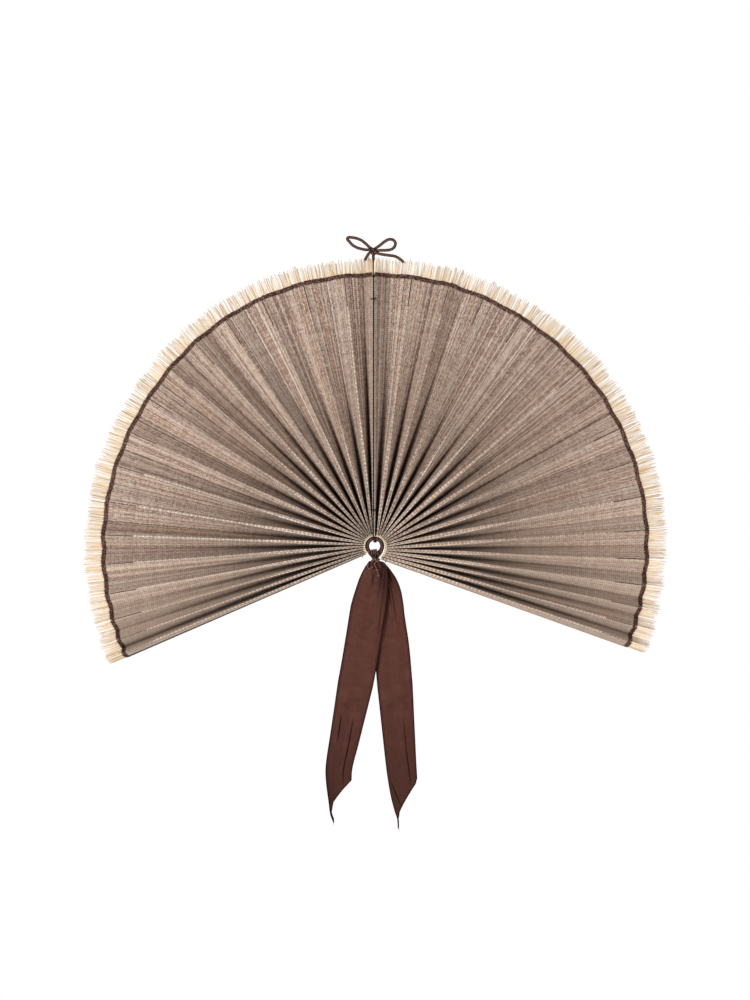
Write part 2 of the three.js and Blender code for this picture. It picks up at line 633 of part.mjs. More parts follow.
// Bow: two loops, two ends and a stem that runs down behind the seam to the upper tie
const bowY = seamFrontY(UPPER_TIE_Z) + bowStandY;
const behindKnotY = seamKnotY + seamKnotDia / 2 + 2 * CLEARANCE + BOW_CORD_DIA / 2;
const bowTop = BOW_KNOT_Z;
const leftLoop = [[0, 0, -1], [-6, -1.5, 2.4], [-12, -2.5, 2.6], [-20, -3, 4.2], [-27, -3, 6.6],
  [-33, -3, 10.4], [-37.4, -2.6, 15.4], [-40.6, -2, 19.4], [-39, -1.6, 21.8], [-35.6, -1.4, 22],
  [-28.6, -1, 21], [-19.7, -0.5, 18], [-11.8, 0, 12.1], [-5.9, 1, 6.6], [0, 1, 3]];
const rightLoop = [[0, 0, 3], [4.6, 0.5, 5.8], [10, 1, 9.6], [16.9, 0.5, 15.1], [23.9, 0, 18.8],
  [30.3, -0.5, 18.3], [34.2, -1.5, 13.8], [33, -2.5, 7.6], [27.8, -3, 3.2], [17.9, -3, 1.7],
  [9, -2, 1.6], [0, 0, -1]];
const leftEnd = [[0, -1, -1], [-5.5, -4.6, -2], [-10, -5.2, -8], [-13.4, -5.2, -14]];
const rightEnd = [[0, -1, -1], [6, -4.6, -3], [14, -5, -4.8], [24, -5, -6.2], [33.8, -4.8, -7.8],
  [40.7, -5.2, -11.6], [47, -5.2, -17]];
const bowPart = (points) => smooth(points.map(([x, y, z]) => [SEAM_X + x, bowY + y, bowTop + z]));
const stem = smooth([[0, bowTop], [2, bowTop - 12], [behindKnotY - bowY, hemEnd],
  [behindKnotY - bowY, seamKnotZ - 6], [0, UPPER_TIE_Z + 9], [0, UPPER_TIE_Z],
  [0, UPPER_TIE_Z - 7]].map(([y, z]) => [SEAM_X, bowY + y, z]));
addNode('bow_cord', union([
  ball(SEAM_X, bowY - 1, bowTop, BOW_KNOT_WIDTH, BOW_KNOT_WIDTH, BOW_KNOT_HEIGHT, 10, 6),
  cord(bowPart(leftLoop), BOW_CORD_DIA, 26, 6),
  cord(bowPart(rightLoop), BOW_CORD_DIA, 20, 6),
  cord(bowPart(leftEnd), BOW_CORD_DIA, 6, 6),
  cord(bowPart(rightEnd), BOW_CORD_DIA, 12, 6),
  cord(stem, BOW_CORD_DIA, 14, 6),
]), darkCord);

export default fan;
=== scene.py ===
import math
import random
import bpy
import numpy as np
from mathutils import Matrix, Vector


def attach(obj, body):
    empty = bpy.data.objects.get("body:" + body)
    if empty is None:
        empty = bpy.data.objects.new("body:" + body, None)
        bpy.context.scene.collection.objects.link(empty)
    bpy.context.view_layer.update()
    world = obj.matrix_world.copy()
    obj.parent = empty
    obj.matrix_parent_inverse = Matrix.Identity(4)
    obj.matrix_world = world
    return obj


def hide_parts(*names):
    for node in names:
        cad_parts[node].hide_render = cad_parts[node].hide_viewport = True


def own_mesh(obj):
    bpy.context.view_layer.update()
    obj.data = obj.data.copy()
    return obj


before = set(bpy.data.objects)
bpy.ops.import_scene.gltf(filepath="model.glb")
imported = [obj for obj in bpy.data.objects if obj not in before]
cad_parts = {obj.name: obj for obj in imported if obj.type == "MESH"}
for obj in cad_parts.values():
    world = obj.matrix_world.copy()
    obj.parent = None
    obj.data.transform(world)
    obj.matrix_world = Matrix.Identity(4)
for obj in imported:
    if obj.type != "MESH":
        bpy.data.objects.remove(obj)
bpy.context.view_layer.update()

random.seed(17)
MM = 0.001
TURN = 2 * math.pi

# Sizes of the fan, in millimetres, as the frame has them
RING_RADIUS = 11.75
RING_CORD = 6.5
WALL_Y = 23.75
FRONT_Y = -7.75
PANEL_WIDTH = 31.5
MAT_ROOT = 15.8
MAT_THICKNESS = 0.9
EDGE_WIDTH = 1.7
LACING_R = 24.5
HEM_START = 418.0
HEM_END = 424.0
HEM_SWELL = 0.5
RIM_DEPTH = 6.5
CREASE_LAP = 0.06
BLUNT_END = 190.0
SEAM_OPENING = 0.25
CREASE_CIRCLE = 155.4
SEAM_X = -2.0
CLEARANCE = 0.3
COIL_SLACK = CLEARANCE + 0.3
FRINGE_LENGTH = 22.5
LEFT_CREASES = [93, 100.8, 110.2, 119, 127.5, 134.7, 142.1, 150.5, 158.4, 166, 174.2, 180.4,
                187.1, 193.6, 198.7, 203, 205.6]
RIGHT_CREASES = [86.4, 77.1, 70.3, 61.6, 52, 44.4, 36.1, 29, 21.2, 13.7, 5.7, -1, -7.1, -12.8,
                 -17.3, -22.1, -25.6]
SPLINTS_A_PANEL = 20
SPLINT_WIDTH = PANEL_WIDTH / SPLINTS_A_PANEL
ENDS_A_PANEL = 31
RIBBON_X = 1.5
RIBBON_WIDTH = 55.0
RIBBON_THICKNESS = 0.8
FRONT_TAIL_LENGTH = 389.0
BACK_TAIL_LENGTH = 398.5
FRONT_TAIL_CUT = [(64, 1), (50, 0.65), (31, 0.2), (16, 0.08), (6, 0.1), (0, 0.04)]
BACK_TAIL_CUT = [(77.5, 1), (68.5, 0.934), (49, 0.6), (25.3, 0.19), (14, 0.06), (0, 0.05)]
SEAM_CORD = 2.2
TIE_THREAD = 1.6
TIE_SPAN = 7.4
UPPER_TIE_Z = 384
LOWER_TIE_Z = 56
BOW_CORD = 4.8
TIE_CORD = 2.2

# The panels' numbers: left pleats, then right pleats, then the two beside the seam
FIRST_PANEL = 2
SIDE_STEP = 38
LAST_LEFT_PANEL = 33
FIRST_CENTRE_PANEL = 80
PANEL_STEP = 40.0

# The picture, in metres and watts: its height, where it is seen from, the floor, and the light
SEEN_HEIGHT = 1.554
CAMERA_AWAY = 6.0
SENSOR = 36.0
FLOOR_Z = -0.98
FLOOR_CORNERS = [(-2.6, -1.7), (2.6, -1.7), (2.6, 1.5), (-2.6, 1.5)]
WORLD_LIGHT = 0.25
LAMPS = [("front_left", (-2.7, -3.1, -0.4), 1.2, 154), ("front_right", (2.2, -3.2, -0.5), 1.8, 82),
         ("back", (0.6, 3.6, 1.2), 2.4, 150)]


# The photograph's camera: level, straight on, far away

def place_camera():
    data = bpy.data.cameras.new("camera")
    data.sensor_fit = "VERTICAL"
    data.sensor_height = SENSOR
    data.lens = SENSOR * CAMERA_AWAY / SEEN_HEIGHT
    data.clip_end = 60
    camera = bpy.data.objects.new("camera", data)
    camera.location = (0.0005, -CAMERA_AWAY, 0.0715)
    camera.rotation_euler = (math.radians(90), 0, 0)
    bpy.context.collection.objects.link(camera)
    bpy.context.scene.camera = camera


place_camera()


# Shapes: lists of points, faces, texture places and finishes that grow piece by piece

class Shape:
    def __init__(self):
        self.points = []
        self.faces = []
        self.places = []
        self.finish = []
        self.total = 0

    def sheet(self, rows, places, finish=0, closed=False, turned=False):
        """Rows of points become a surface. Places has one column more than a closed row."""
        rows = np.asarray(rows, float)
        places = np.asarray(places, float)
        n, m = rows.shape[:2]
        self.points.append(rows.reshape(-1, 3))
        i, j = np.meshgrid(np.arange(n - 1), np.arange(m if closed else m - 1), indexing="ij")
        i, j = i.ravel(), j.ravel()
        k = (j + 1) % m
        corners = np.stack([i * m + j, i * m + k, (i + 1) * m + k, (i + 1) * m + j], 1)
        spots = np.stack([places[i, j], places[i, j + 1], places[i + 1, j + 1], places[i + 1, j]], 1)
        if turned:
            corners = corners[:, ::-1]
            spots = spots[:, ::-1]
        self.faces.extend((corners + self.total).tolist())
        self.places.append(spots.reshape(-1, 2))
        self.finish.extend([finish] * len(corners))
        self.total += n * m

    def slab(self, front, back, places, finish=0, mirrored=False):
        """A sheet with a front, a back and four closed edges."""
        self.sheet(front, places, finish, turned=mirrored)
        self.sheet(back, places, finish, turned=not mirrored)
        for end in (0, -1):
            for pick, turned in (((end,), (end == 0) == mirrored),
                                 ((slice(None), end), (end == 0) != mirrored)):
                self.sheet([front[pick], back[pick]], [places[pick]] * 2, finish, turned=turned)

    def lid(self, ring, place, finish=0, turned=False):
        """A flat end on a ring of points that curves outwards only."""
        count = len(ring)
        self.points.append(np.asarray(ring, float))
        face = list(range(self.total, self.total + count))
        self.faces.append(face[::-1] if turned else face)
        self.places.append(np.tile(np.asarray(place, float), (count, 1)))
        self.finish.append(finish)
        self.total += count

    def tube(self, rings, places, finish=0, turned=False):
        """Closed rings of points with a flat end on each side."""
        self.sheet(rings, places, finish, closed=True, turned=turned)
        self.lid(rings[0], places[0, 0], finish, not turned)
        self.lid(rings[-1], places[-1, 0], finish, turned)

    def piece(self, name, finishes, body, nodes=()):
        """The finished object, riding on its body and standing for its nodes."""
        mesh = bpy.data.meshes.new(name)
        mesh.from_pydata((np.concatenate(self.points) * MM).tolist(), [], self.faces)
        layer = mesh.uv_layers.new(name="place")
        layer.data.foreach_set("uv", np.concatenate(self.places).astype(np.float32).ravel())
        for finish in finishes:
            mesh.materials.append(finish)
        mesh.polygons.foreach_set("material_index", self.finish)
        mesh.polygons.foreach_set("use_smooth", [True] * len(self.faces))
        mesh.update()
        made = bpy.data.objects.new(name, mesh)
        bpy.context.collection.objects.link(made)
        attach(made, body)
        if nodes:
            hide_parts(*nodes)
        return made


def unit(vectors):
    """Directions of length one."""
    return vectors / np.linalg.norm(vectors, axis=-1, keepdims=True)


def held(share):
    """A share kept from 0 to 1."""
    return np.clip(share, 0, 1)


def round_steps(count):
    """Angles that go once round, without the last one."""
    return np.linspace(0, TURN, count, endpoint=False)


def spread(*values):
    """Values of any shapes, brought to one shape and put side by side."""
    return np.stack(np.broadcast_arrays(*values), -1)


# Cords: a soft line through points, and plies that wind round it

def soft_line(points, closed=False, each=24):
    p = np.array(points, float)
    if closed:
        p = np.vstack([p[-1], p, p[:2]])
    else:
        p = np.vstack([2 * p[0] - p[1], p, 2 * p[-1] - p[-2]])
    line = []
    for i in range(1, len(p) - 2):
        p0, p1, p2, p3 = p[i - 1:i + 3]
        d0, d1, d2 = [max(1e-4, np.linalg.norm(b - a)) ** 0.5 for a, b in ((p0, p1), (p1, p2), (p2, p3))]
        t1 = ((p1 - p0) / d0 - (p2 - p0) / (d0 + d1) + (p2 - p1) / d1) * d1
        t2 = ((p2 - p1) / d1 - (p3 - p1) / (d1 + d2) + (p3 - p2) / d2) * d1
        for s in np.linspace(0, 1, each, endpoint=False):
            line.append((2 * s ** 3 - 3 * s ** 2 + 1) * p1 + (s ** 3 - 2 * s ** 2 + s) * t1
                        + (3 * s ** 2 - 2 * s ** 3) * p2 + (s ** 3 - s ** 2) * t2)
    if not closed:
        line.append(p[-2])
    return np.array(line)


def way_along(line):
    """How far each point of a line lies from its start."""
    return np.concatenate([[0], np.cumsum(np.linalg.norm(np.diff(line, axis=0), axis=1))])


def even_steps(line, step):
    lengths = way_along(line)
    at = np.linspace(0, lengths[-1], max(3, int(round(lengths[-1] / step)) + 1))
    return np.stack([np.interp(at, lengths, line[:, k]) for k in range(3)], 1)


def frames(line, closed=False):
    """Directions across the line that turn as little as they can."""
    ahead = unit(np.roll(line, -1, 0) - np.roll(line, 1, 0) if closed else np.gradient(line, axis=0))
    first = np.cross(ahead[0], [0.31, 0.17, 0.93])
    if np.linalg.norm(first) < 0.2:
        first = np.cross(ahead[0], [1, 0, 0])
    sides = [unit(first)]
    for a in ahead[1:]:
        sides.append(unit(sides[-1] - a * np.dot(sides[-1], a)))
    return np.array(sides), np.cross(ahead, sides)


def twisted_cord(shape, line, diameter, plies=3, lay=2.6, finish=0, closed=False, sides=12):
    """Plies wound round a line. Lay is the length of one turn, in diameters."""
    line = even_steps(line if not closed else np.vstack([line, line[:1]]), diameter * 0.24)
    if closed:
        line = line[:-1]
    side, up = frames(line, closed)
    lengths = way_along(line)[:, None]
    turn = diameter * lay
    if closed:
        turn = lengths[-1, 0] / max(1, round(lengths[-1, 0] / turn))
    angle = round_steps(sides)
    phase = angle * plies / 2 - (lengths / turn) * math.pi * plies
    radius = diameter / 2 * (0.8 + 0.2 * np.abs(np.cos(phase)) ** 0.7)
    ring = (line[:, None] + side[:, None] * (radius * np.cos(angle))[..., None]
            + up[:, None] * (radius * np.sin(angle))[..., None])
    places = spread(np.linspace(0, plies, sides + 1) - (lengths / turn) * plies, lengths)
    if closed:
        shape.sheet([*ring, ring[0]], [*places, places[0]], finish, closed=True)
    else:
        shape.tube(ring, places, finish)


def thread(shape, points, diameter, lay=3.0, sides=8, each=24, closed=False, finish=0):
    """Two plies on a soft line through the points."""
    twisted_cord(shape, soft_line(points, closed, each), diameter, 2, lay, finish, closed, sides)


def knot(shape, centre, size, diameter, finish=0):
    """An overhand knot drawn tight, as wide, deep and high as size says."""
    t = round_steps(90)
    flat = np.stack([np.sin(t) + 2 * np.sin(2 * t), -np.sin(3 * t) * 1.5, np.cos(t) - 2 * np.cos(2 * t)], 1)
    reach = (np.array(size) - diameter) / 2 / np.array([2.76, 1.5, 3.0])
    twisted_cord(shape, flat * reach + np.array(centre), diameter, finish=finish, closed=True, sides=10)


# Materials

def maths_sign(operation, turned=False):
    """What a sign in a sum does: it adds a node for its operation."""
    if turned:
        return lambda wire, other: wire.net.maths(operation, other, wire)
    return lambda wire, other=0.0: wire.net.maths(operation, wire, other)


class Wire:
    """A value that one node hands to the next."""

    __add__, __mul__, __mod__ = maths_sign("ADD"), maths_sign("MULTIPLY"), maths_sign("FLOORED_MODULO")
    __sub__, __rsub__ = maths_sign("SUBTRACT"), maths_sign("SUBTRACT", True)
    __truediv__, __rtruediv__ = maths_sign("DIVIDE"), maths_sign("DIVIDE", True)
    __abs__, floor = maths_sign("ABSOLUTE"), maths_sign("FLOOR")
    part, sine = maths_sign("FRACT"), maths_sign("SINE")

    def __init__(self, net, socket):
        self.net, self.socket = net, socket

    def span(self, low, high, top=1.0, bottom=0.0, smooth=True):
        """From bottom to top, as the value goes from low to high."""
        return self.net.add("MapRange", {"Value": self, "From Min": low, "From Max": high,
                                         "To Min": bottom, "To Max": top}, "Result",
                            interpolation_type="SMOOTHSTEP" if smooth else "LINEAR", clamp=True)

    def even(self, low, high, top=1.0, bottom=0.0):
        return self.span(low, high, top, bottom, smooth=False)


class Net:
    """Nodes that are added one by one, each with its inputs."""

    def __init__(self, tree):
        self.tree = tree
        self.count = 0

    def node(self, kind, inputs=(), **settings):
        node = self.tree.nodes.new(kind)
        node.location = (190 * (self.count % 9) - 1700, 300 - 210 * (self.count // 9))
        self.count += 1
        for name, value in settings.items():
            setattr(node, name, value)
        for key, value in dict(inputs).items():
            if isinstance(value, Wire):
                self.tree.links.new(value.socket, node.inputs[key])
            else:
                node.inputs[key].default_value = value
        return node

    def wires(self, kind, inputs=(), **settings):
        """A node's outputs by their names."""
        outputs = self.node(kind, inputs, **settings).outputs
        return {socket.name: Wire(self, socket) for socket in outputs}

    def add(self, kind, inputs=(), out=0, **settings):
        """A node and the one output of it that is used."""
        return Wire(self, self.node("ShaderNode" + kind, inputs, **settings).outputs[out])

    def maths(self, operation, a, b=0.0):
        return self.add("Math", {0: a, 1: b}, operation=operation)

    def place(self):
        return self.add("UVMap", uv_map="place")

    def split(self, place):
        return list(self.wires("ShaderNodeSeparateXYZ", {0: place}).values())

    def spot(self, x, y, z=0.0):
        return self.add("CombineXYZ", {0: x, 1: y, 2: z})

    def stretched(self, place, x, y):
        return self.add("Mapping", {"Vector": place, "Scale": (x, y, 1.0)})

    def chance(self, number):
        """A random share for each number."""
        return self.add("TexWhiteNoise", {"W": number}, noise_dimensions="1D")

    def chance_at(self, x, y):
        """A random share for each pair of numbers."""
        return self.add("TexWhiteNoise", {"Vector": self.spot(x, y)}, noise_dimensions="2D")

    def blend(self, share, a, b):
        return self.add("Mix", {0: share, 6: a, 7: b}, 2, data_type="RGBA")

    def coats(self, colour, *layers):
        """Layers of colour over a first one, each with the share that it covers."""
        for share, red, green, blue in layers:
            colour = self.blend(share, colour, srgb(red, green, blue))
        return colour

    def noise(self, place, scale=1.0, detail=3.0, rough=0.6, dimensions="3D"):
        key = "W" if dimensions == "1D" else "Vector"
        return self.add("TexNoise", {key: place, "Scale": scale, "Detail": detail, "Roughness": rough},
                        noise_dimensions=dimensions)

    def hollow(self, reach, low, high):
        """How deep a spot lies between its neighbours, from 0 in the open to 1 in a narrow gap, which sets how much
        shade is painted into hollows.
        """
        return self.add("AmbientOcclusion", {"Distance": reach}, "AO", samples=8).span(high, low)


def srgb(red, green, blue):
    """A colour as it is seen, turned into light amounts."""
    amounts = []
    for value in (red, green, blue):
        value /= 255
        amounts.append(value / 12.92 if value <= 0.04045 else ((value + 0.055) / 1.055) ** 2.4)
    return (*amounts, 1.0)


def make_group(name, build, inputs):
    """A node group. Build makes its nodes and hands back its outputs by name."""
    tree = bpy.data.node_groups.new(name, "ShaderNodeTree")
    for label, value in inputs.items():
        kind = "NodeSocketColor" if isinstance(value, tuple) else "NodeSocketFloat"
        tree.interface.new_socket(label, in_out="INPUT", socket_type=kind).default_value = value
    net = Net(tree)
    outputs = build(net, net.place(), net.wires("NodeGroupInput"))
    for label in outputs:
        kind = "NodeSocketColor" if label == "Color" else "NodeSocketFloat"
        tree.interface.new_socket(label, in_out="OUTPUT", socket_type=kind)
    net.node("NodeGroupOutput", outputs)
    return tree


def build_splint_tones(net, place, given):
    """Uneven colour from splint to splint, with slow bands over many and streaks along each."""
    x, y, _ = net.split(place)
    across = x / given["Splint Width"]
    splint = across.floor()
    own = net.chance(splint)
    slow = net.noise(x, 0.14, 3.0, 0.62, "1D").span(0.3, 0.7)
    streak = net.noise(net.spot(across * 2.3, y * 0.01, own), 1.0, 4.0)
    mixed = net.add("Mix", {0: given["Band Share"], 2: own, 3: slow})
    tone = mixed * 0.78 + streak * 0.22
    low = net.blend(tone.even(0.16, 0.5), given["Dark"], given["Middle"])
    even = net.blend(tone.even(0.5, 0.84), low, given["Light"])
    other = net.chance(splint + 0.37)
    tinted = net.blend(other.span(0.74, 0.8) * given["Warm Share"], even, given["Warm"])
    bright = other.span(0.12, 0.06) * streak.span(0.35, 0.6)
    brightened = net.blend(bright * given["Bright Share"], tinted, given["Light"])
    dim = other.span(0.16, 0.18) * other.span(0.28, 0.26)
    return {"Color": net.blend(dim * 0.6, brightened, given["Dark"]), "Tone": tone,
            "Groove": abs(across - splint - 0.5).span(0.3, 0.5), "Splint": splint}


def build_crossing_threads(net, place, given):
    """Threads that run over one splint and under the next, row after row."""
    drift = net.noise(place, 0.06, 2.0, 0.5)
    rows = (net.split(place)[1] + drift * given["Wander"]) / given["Row Pitch"]
    shifted = rows * 0.5 + net.maths("PINGPONG", given["Splint"], 1.0) * 0.5
    half = given["Thread Share"] * 0.5
    return {"Over": 1.0 - abs(shifted.part() - 0.5).span(half * 0.6, half),
            "Row": 1.0 - abs(rows.part() - 0.5).span(half * 1.1, given["Thread Share"]),
            "Crossing": net.chance_at(given["Splint"], rows.floor()),
            "Row Tone": net.chance(rows.floor())}


def build_plain_weave(net, place, given):
    """Fine cloth: two sets of threads that pass over and under each other."""
    x, y, _ = net.split(place)
    turns = math.pi / given["Thread Pitch"]
    crossed = abs((x * turns).sine() * (y * turns).sine())
    slub = (net.noise(net.stretched(place, 1.6, 0.05)) + net.noise(net.stretched(place, 0.05, 1.6))) * 0.5
    return {"Height": crossed + slub * given["Unevenness"], "Slub": slub}


def build_twisted_fibres(net, place, given):
    """Fine fibres that lie along the plies of a cord, with a dark groove between plies."""
    x, y, _ = net.split(place)
    groove = abs(x.part() - 0.5).span(0.5 - given["Groove Width"], 0.5)
    fibre = net.noise(net.spot(x * given["Fibres"], y * 0.5))
    return {"Height": fibre * 0.6 - groove, "Groove": groove, "Fibre": fibre}


splint_tones = make_group("splint_tones", build_splint_tones, {
    "Splint Width": SPLINT_WIDTH, "Dark": (0.1, 0.07, 0.05, 1), "Middle": (0.3, 0.2, 0.15, 1),
    "Light": (0.6, 0.5, 0.4, 1), "Warm": (0.6, 0.4, 0.25, 1), "Band Share": 0.4, "Warm Share": 0.5,
    "Bright Share": 0.8})
crossing_threads = make_group("crossing_threads", build_crossing_threads, {
    "Splint": 0.0, "Row Pitch": 3.1, "Thread Share": 0.16, "Wander": 0.4})
plain_weave = make_group("plain_weave", build_plain_weave, {"Thread Pitch": 0.42, "Unevenness": 0.35})
twisted_fibres = make_group("twisted_fibres", build_twisted_fibres, {"Fibres": 9.0, "Groove Width": 0.3})


class Finish(Net):
    """The nodes of one material."""

    def __init__(self, name):
        self.material = bpy.data.materials.new(name)
        self.material.use_nodes = True
        self.material.node_tree.nodes.clear()
        super().__init__(self.material.node_tree)

    def group(self, tree, values):
        return self.wires("ShaderNodeGroup", values, node_tree=tree)

    def done(self, colour, rough, height, depth, strength=1.0, shine=0.5, sheen=0.0):
        """The surface, from its colour, its roughness and its relief."""
        bump = self.add("Bump", {"Height": height, "Distance": depth, "Strength": strength})
        surface = self.add("BsdfPrincipled", {
            "Base Color": colour, "Roughness": rough, "Normal": bump, "Specular IOR Level": shine,
            "Sheen Weight": sheen, "Sheen Roughness": 0.6})
        self.node("ShaderNodeOutputMaterial", {0: surface})
        return self.material


def splint_colours(net, *values):
    """The splints' tones from a width, four colours and three shares."""
    names = ("Splint Width", "Dark", "Middle", "Light", "Warm", "Band Share", "Warm Share", "Bright Share")
    return net.group(splint_tones, {
        name: srgb(*value) if isinstance(value, tuple) else value for name, value in zip(names, values)})


def woven_splints_finish():
    net = Finish("woven_splints")
    tones = splint_colours(net, SPLINT_WIDTH, (118, 92, 78), (181, 156, 140), (232, 213, 196), (204, 162, 127),
                           0.22, 0.4, 0.8)
    rows = net.group(crossing_threads, {
        "Splint": tones["Splint"], "Row Pitch": 3.1, "Thread Share": 0.25, "Wander": 1.2})
    place = net.place()
    x, y, _ = net.split(place)
    inside = x % PANEL_STEP
    # The fold edges are lighter in patches: rubbed wear and a painted highlight, stronger on the lower pleats that
    # have painted light.
    wear_and_highlight_patches = net.noise(place, 0.5, 3.0, 0.7).span(0.42, 0.58)
    fold_wear_and_highlight = inside.span(PANEL_WIDTH - 0.9, PANEL_WIDTH - 0.1) * wear_and_highlight_patches
    # Painted shade in the crease at the back of each panel.
    valley_shade = 1.0 - inside.span(0.3, 2.2)
    left_side = net.maths("LESS_THAN", x, PANEL_STEP * SIDE_STEP)
    from_seam = (x / PANEL_STEP - FIRST_PANEL) % SIDE_STEP
    # Painted light: the lower pleats of each half are lighter, as if more light fell on them.
    left_painted_light = from_seam.span(19.0, 28.0) * y.span(60.0, 210.0)
    painted_light = left_side * left_painted_light + (1.0 - left_side) * from_seam.span(11.0, 29.0)
    # A painted light strip on the centre panels, next to the seam.
    painted_light_by_seam = inside.span(PANEL_WIDTH - 4.6, PANEL_WIDTH - 3.8) \
        * net.maths("GREATER_THAN", x, PANEL_STEP * FIRST_CENTRE_PANEL - 1)
    bare = 1.0 - (y + tones["Tone"] * 4.0).span(MAT_ROOT + 3.4, MAT_ROOT + 5.0)
    # Painted shade on the last left panel, along its outer edge.
    last_panel_shade = x.even(PANEL_STEP * LAST_LEFT_PANEL - 1, PANEL_STEP * LAST_LEFT_PANEL) * left_side
    colour = net.coats(
        tones["Color"],
        (tones["Groove"] * 0.42, 88, 62, 50),
        # wear and a painted highlight on the fold edges
        (fold_wear_and_highlight * painted_light.even(0.0, 1.0, 0.16, 0.5), 232, 216, 196),
        # painted shade in the creases
        (valley_shade * 0.66, 50, 34, 28),
        # painted light beside the seam
        (painted_light_by_seam * 0.65, 222, 208, 192),
        (rows["Crossing"].even(0.58, 1.0, 0.44), 238, 224, 206),
        (rows["Crossing"].even(0.42, 0.0, 0.5), 92, 70, 58),
        (rows["Row Tone"].even(0.6, 1.0, 0.13), 232, 216, 198),
        (rows["Row Tone"].even(0.4, 0.0, 0.13), 96, 74, 62),
        # painted shade: the left mats darker towards the ring
        (y.span(170.0, 40.0, 0.3) * left_side, 104, 84, 74),
        # painted light on the lower pleats
        (painted_light * 0.37, 240, 219, 200),
        (rows["Row"] * 0.5, 88, 64, 54),
        (rows["Over"] * 0.62, 92, 62, 52),
        (bare * 0.88, 248, 226, 186),
        # painted shade on the last left panel's outer edge
        (last_panel_shade * inside.span(7.0, 2.0, 0.8), 56, 36, 30),
        # painted shade in hollows, from ambient occlusion
        (net.hollow(0.015, 0.0, 0.42) * 0.78, 38, 25, 20))
    height = rows["Over"] * 0.7 - tones["Groove"] * 0.8
    return net.done(colour, tones["Tone"].span(0.1, 0.9, 0.6, 0.82), height, 0.00025, shine=0.3)


def bare_splints_finish():
    net = Finish("bare_splints")
    tones = splint_colours(net, 1.0, (172, 138, 100), (222, 200, 168), (246, 233, 210), (220, 176, 122),
                           0.25, 0.6, 0.6)
    place = net.place()
    grain = net.noise(net.stretched(place, 9.0, 0.25))
    near = 1.0 - net.split(place)[1].span(HEM_END - 1.0, HEM_END + 4.0)
    colour = net.coats(tones["Color"], (near * 0.35, 176, 138, 98),
                       (grain.span(0.52, 0.78, 0.4), 198, 160, 112))
    return net.done(colour, grain.span(0.2, 0.8, 0.75, 0.5), grain, 0.00008, 0.6)


def hem_finish():
    net = Finish("packed_hem_threads")
    place = net.place()
    x, y, _ = net.split(place)
    rows = y / 0.95
    between = abs(rows.part() - 0.5).span(0.28, 0.5)
    own = net.chance(rows.floor())
    over = (x * (TURN / SPLINT_WIDTH) + rows.floor() * math.pi).sine()
    patchy = net.noise(place, 0.5)
    base = net.blend((own + patchy) * 0.5, srgb(46, 26, 24), srgb(100, 67, 59))
    gap = net.chance_at((x / SPLINT_WIDTH).floor(), rows.floor())
    colour = net.coats(base, (gap.span(0.7, 0.82, 0.55), 172, 142, 124), (between * 0.6, 28, 15, 14))
    return net.done(colour, patchy.span(0.2, 0.8, 0.9, 0.7), over * 0.35 - between, 0.0003, shine=0.1)


def cord_finish(name, dark, light, groove, roughness, shine=0.0, dull=0.8, sides=(), pit=0.5):
    """Sides lists the spots of a ring's girth that are painted in shade, where they lie turned away, each with its
    reach.
    """
    net = Finish(name)
    plies = net.group(twisted_fibres, {"Fibres": 9.0, "Groove Width": 0.26})
    place = net.place()
    worn = net.noise(net.stretched(place, 0.7, 0.16))
    base = net.blend((plies["Fibre"] * 0.6 + worn * 0.4).span(0.3, 0.7), srgb(*dark), srgb(*light))
    # Painted shade: the cord grows darker where its surface turns away from view, at its rims.
    away = net.add("LayerWeight", {"Blend": 0.6}, "Facing")
    girth = net.split(place)[1]
    # Painted shade on the listed spots of the girth.
    painted_side_shade = [(abs(girth - middle).span(reach, reach * 0.4, 0.9), *groove) for middle, reach in sides]
    # Over the dark ply grooves come painted shade at the rims, on the listed spots and in hollows, from ambient
    # occlusion.
    colour = net.coats(base, (plies["Groove"] * 0.7, *groove), (away.span(0.06, 0.44) * dull, *groove),
                       *painted_side_shade, (net.hollow(0.006, 0.0, 0.7) * pit, *groove))
    rough = plies["Fibre"].span(0.2, 0.8, roughness + 0.12, roughness - 0.1)
    return net.done(colour, rough, plies["Height"], 0.0002, shine=shine)


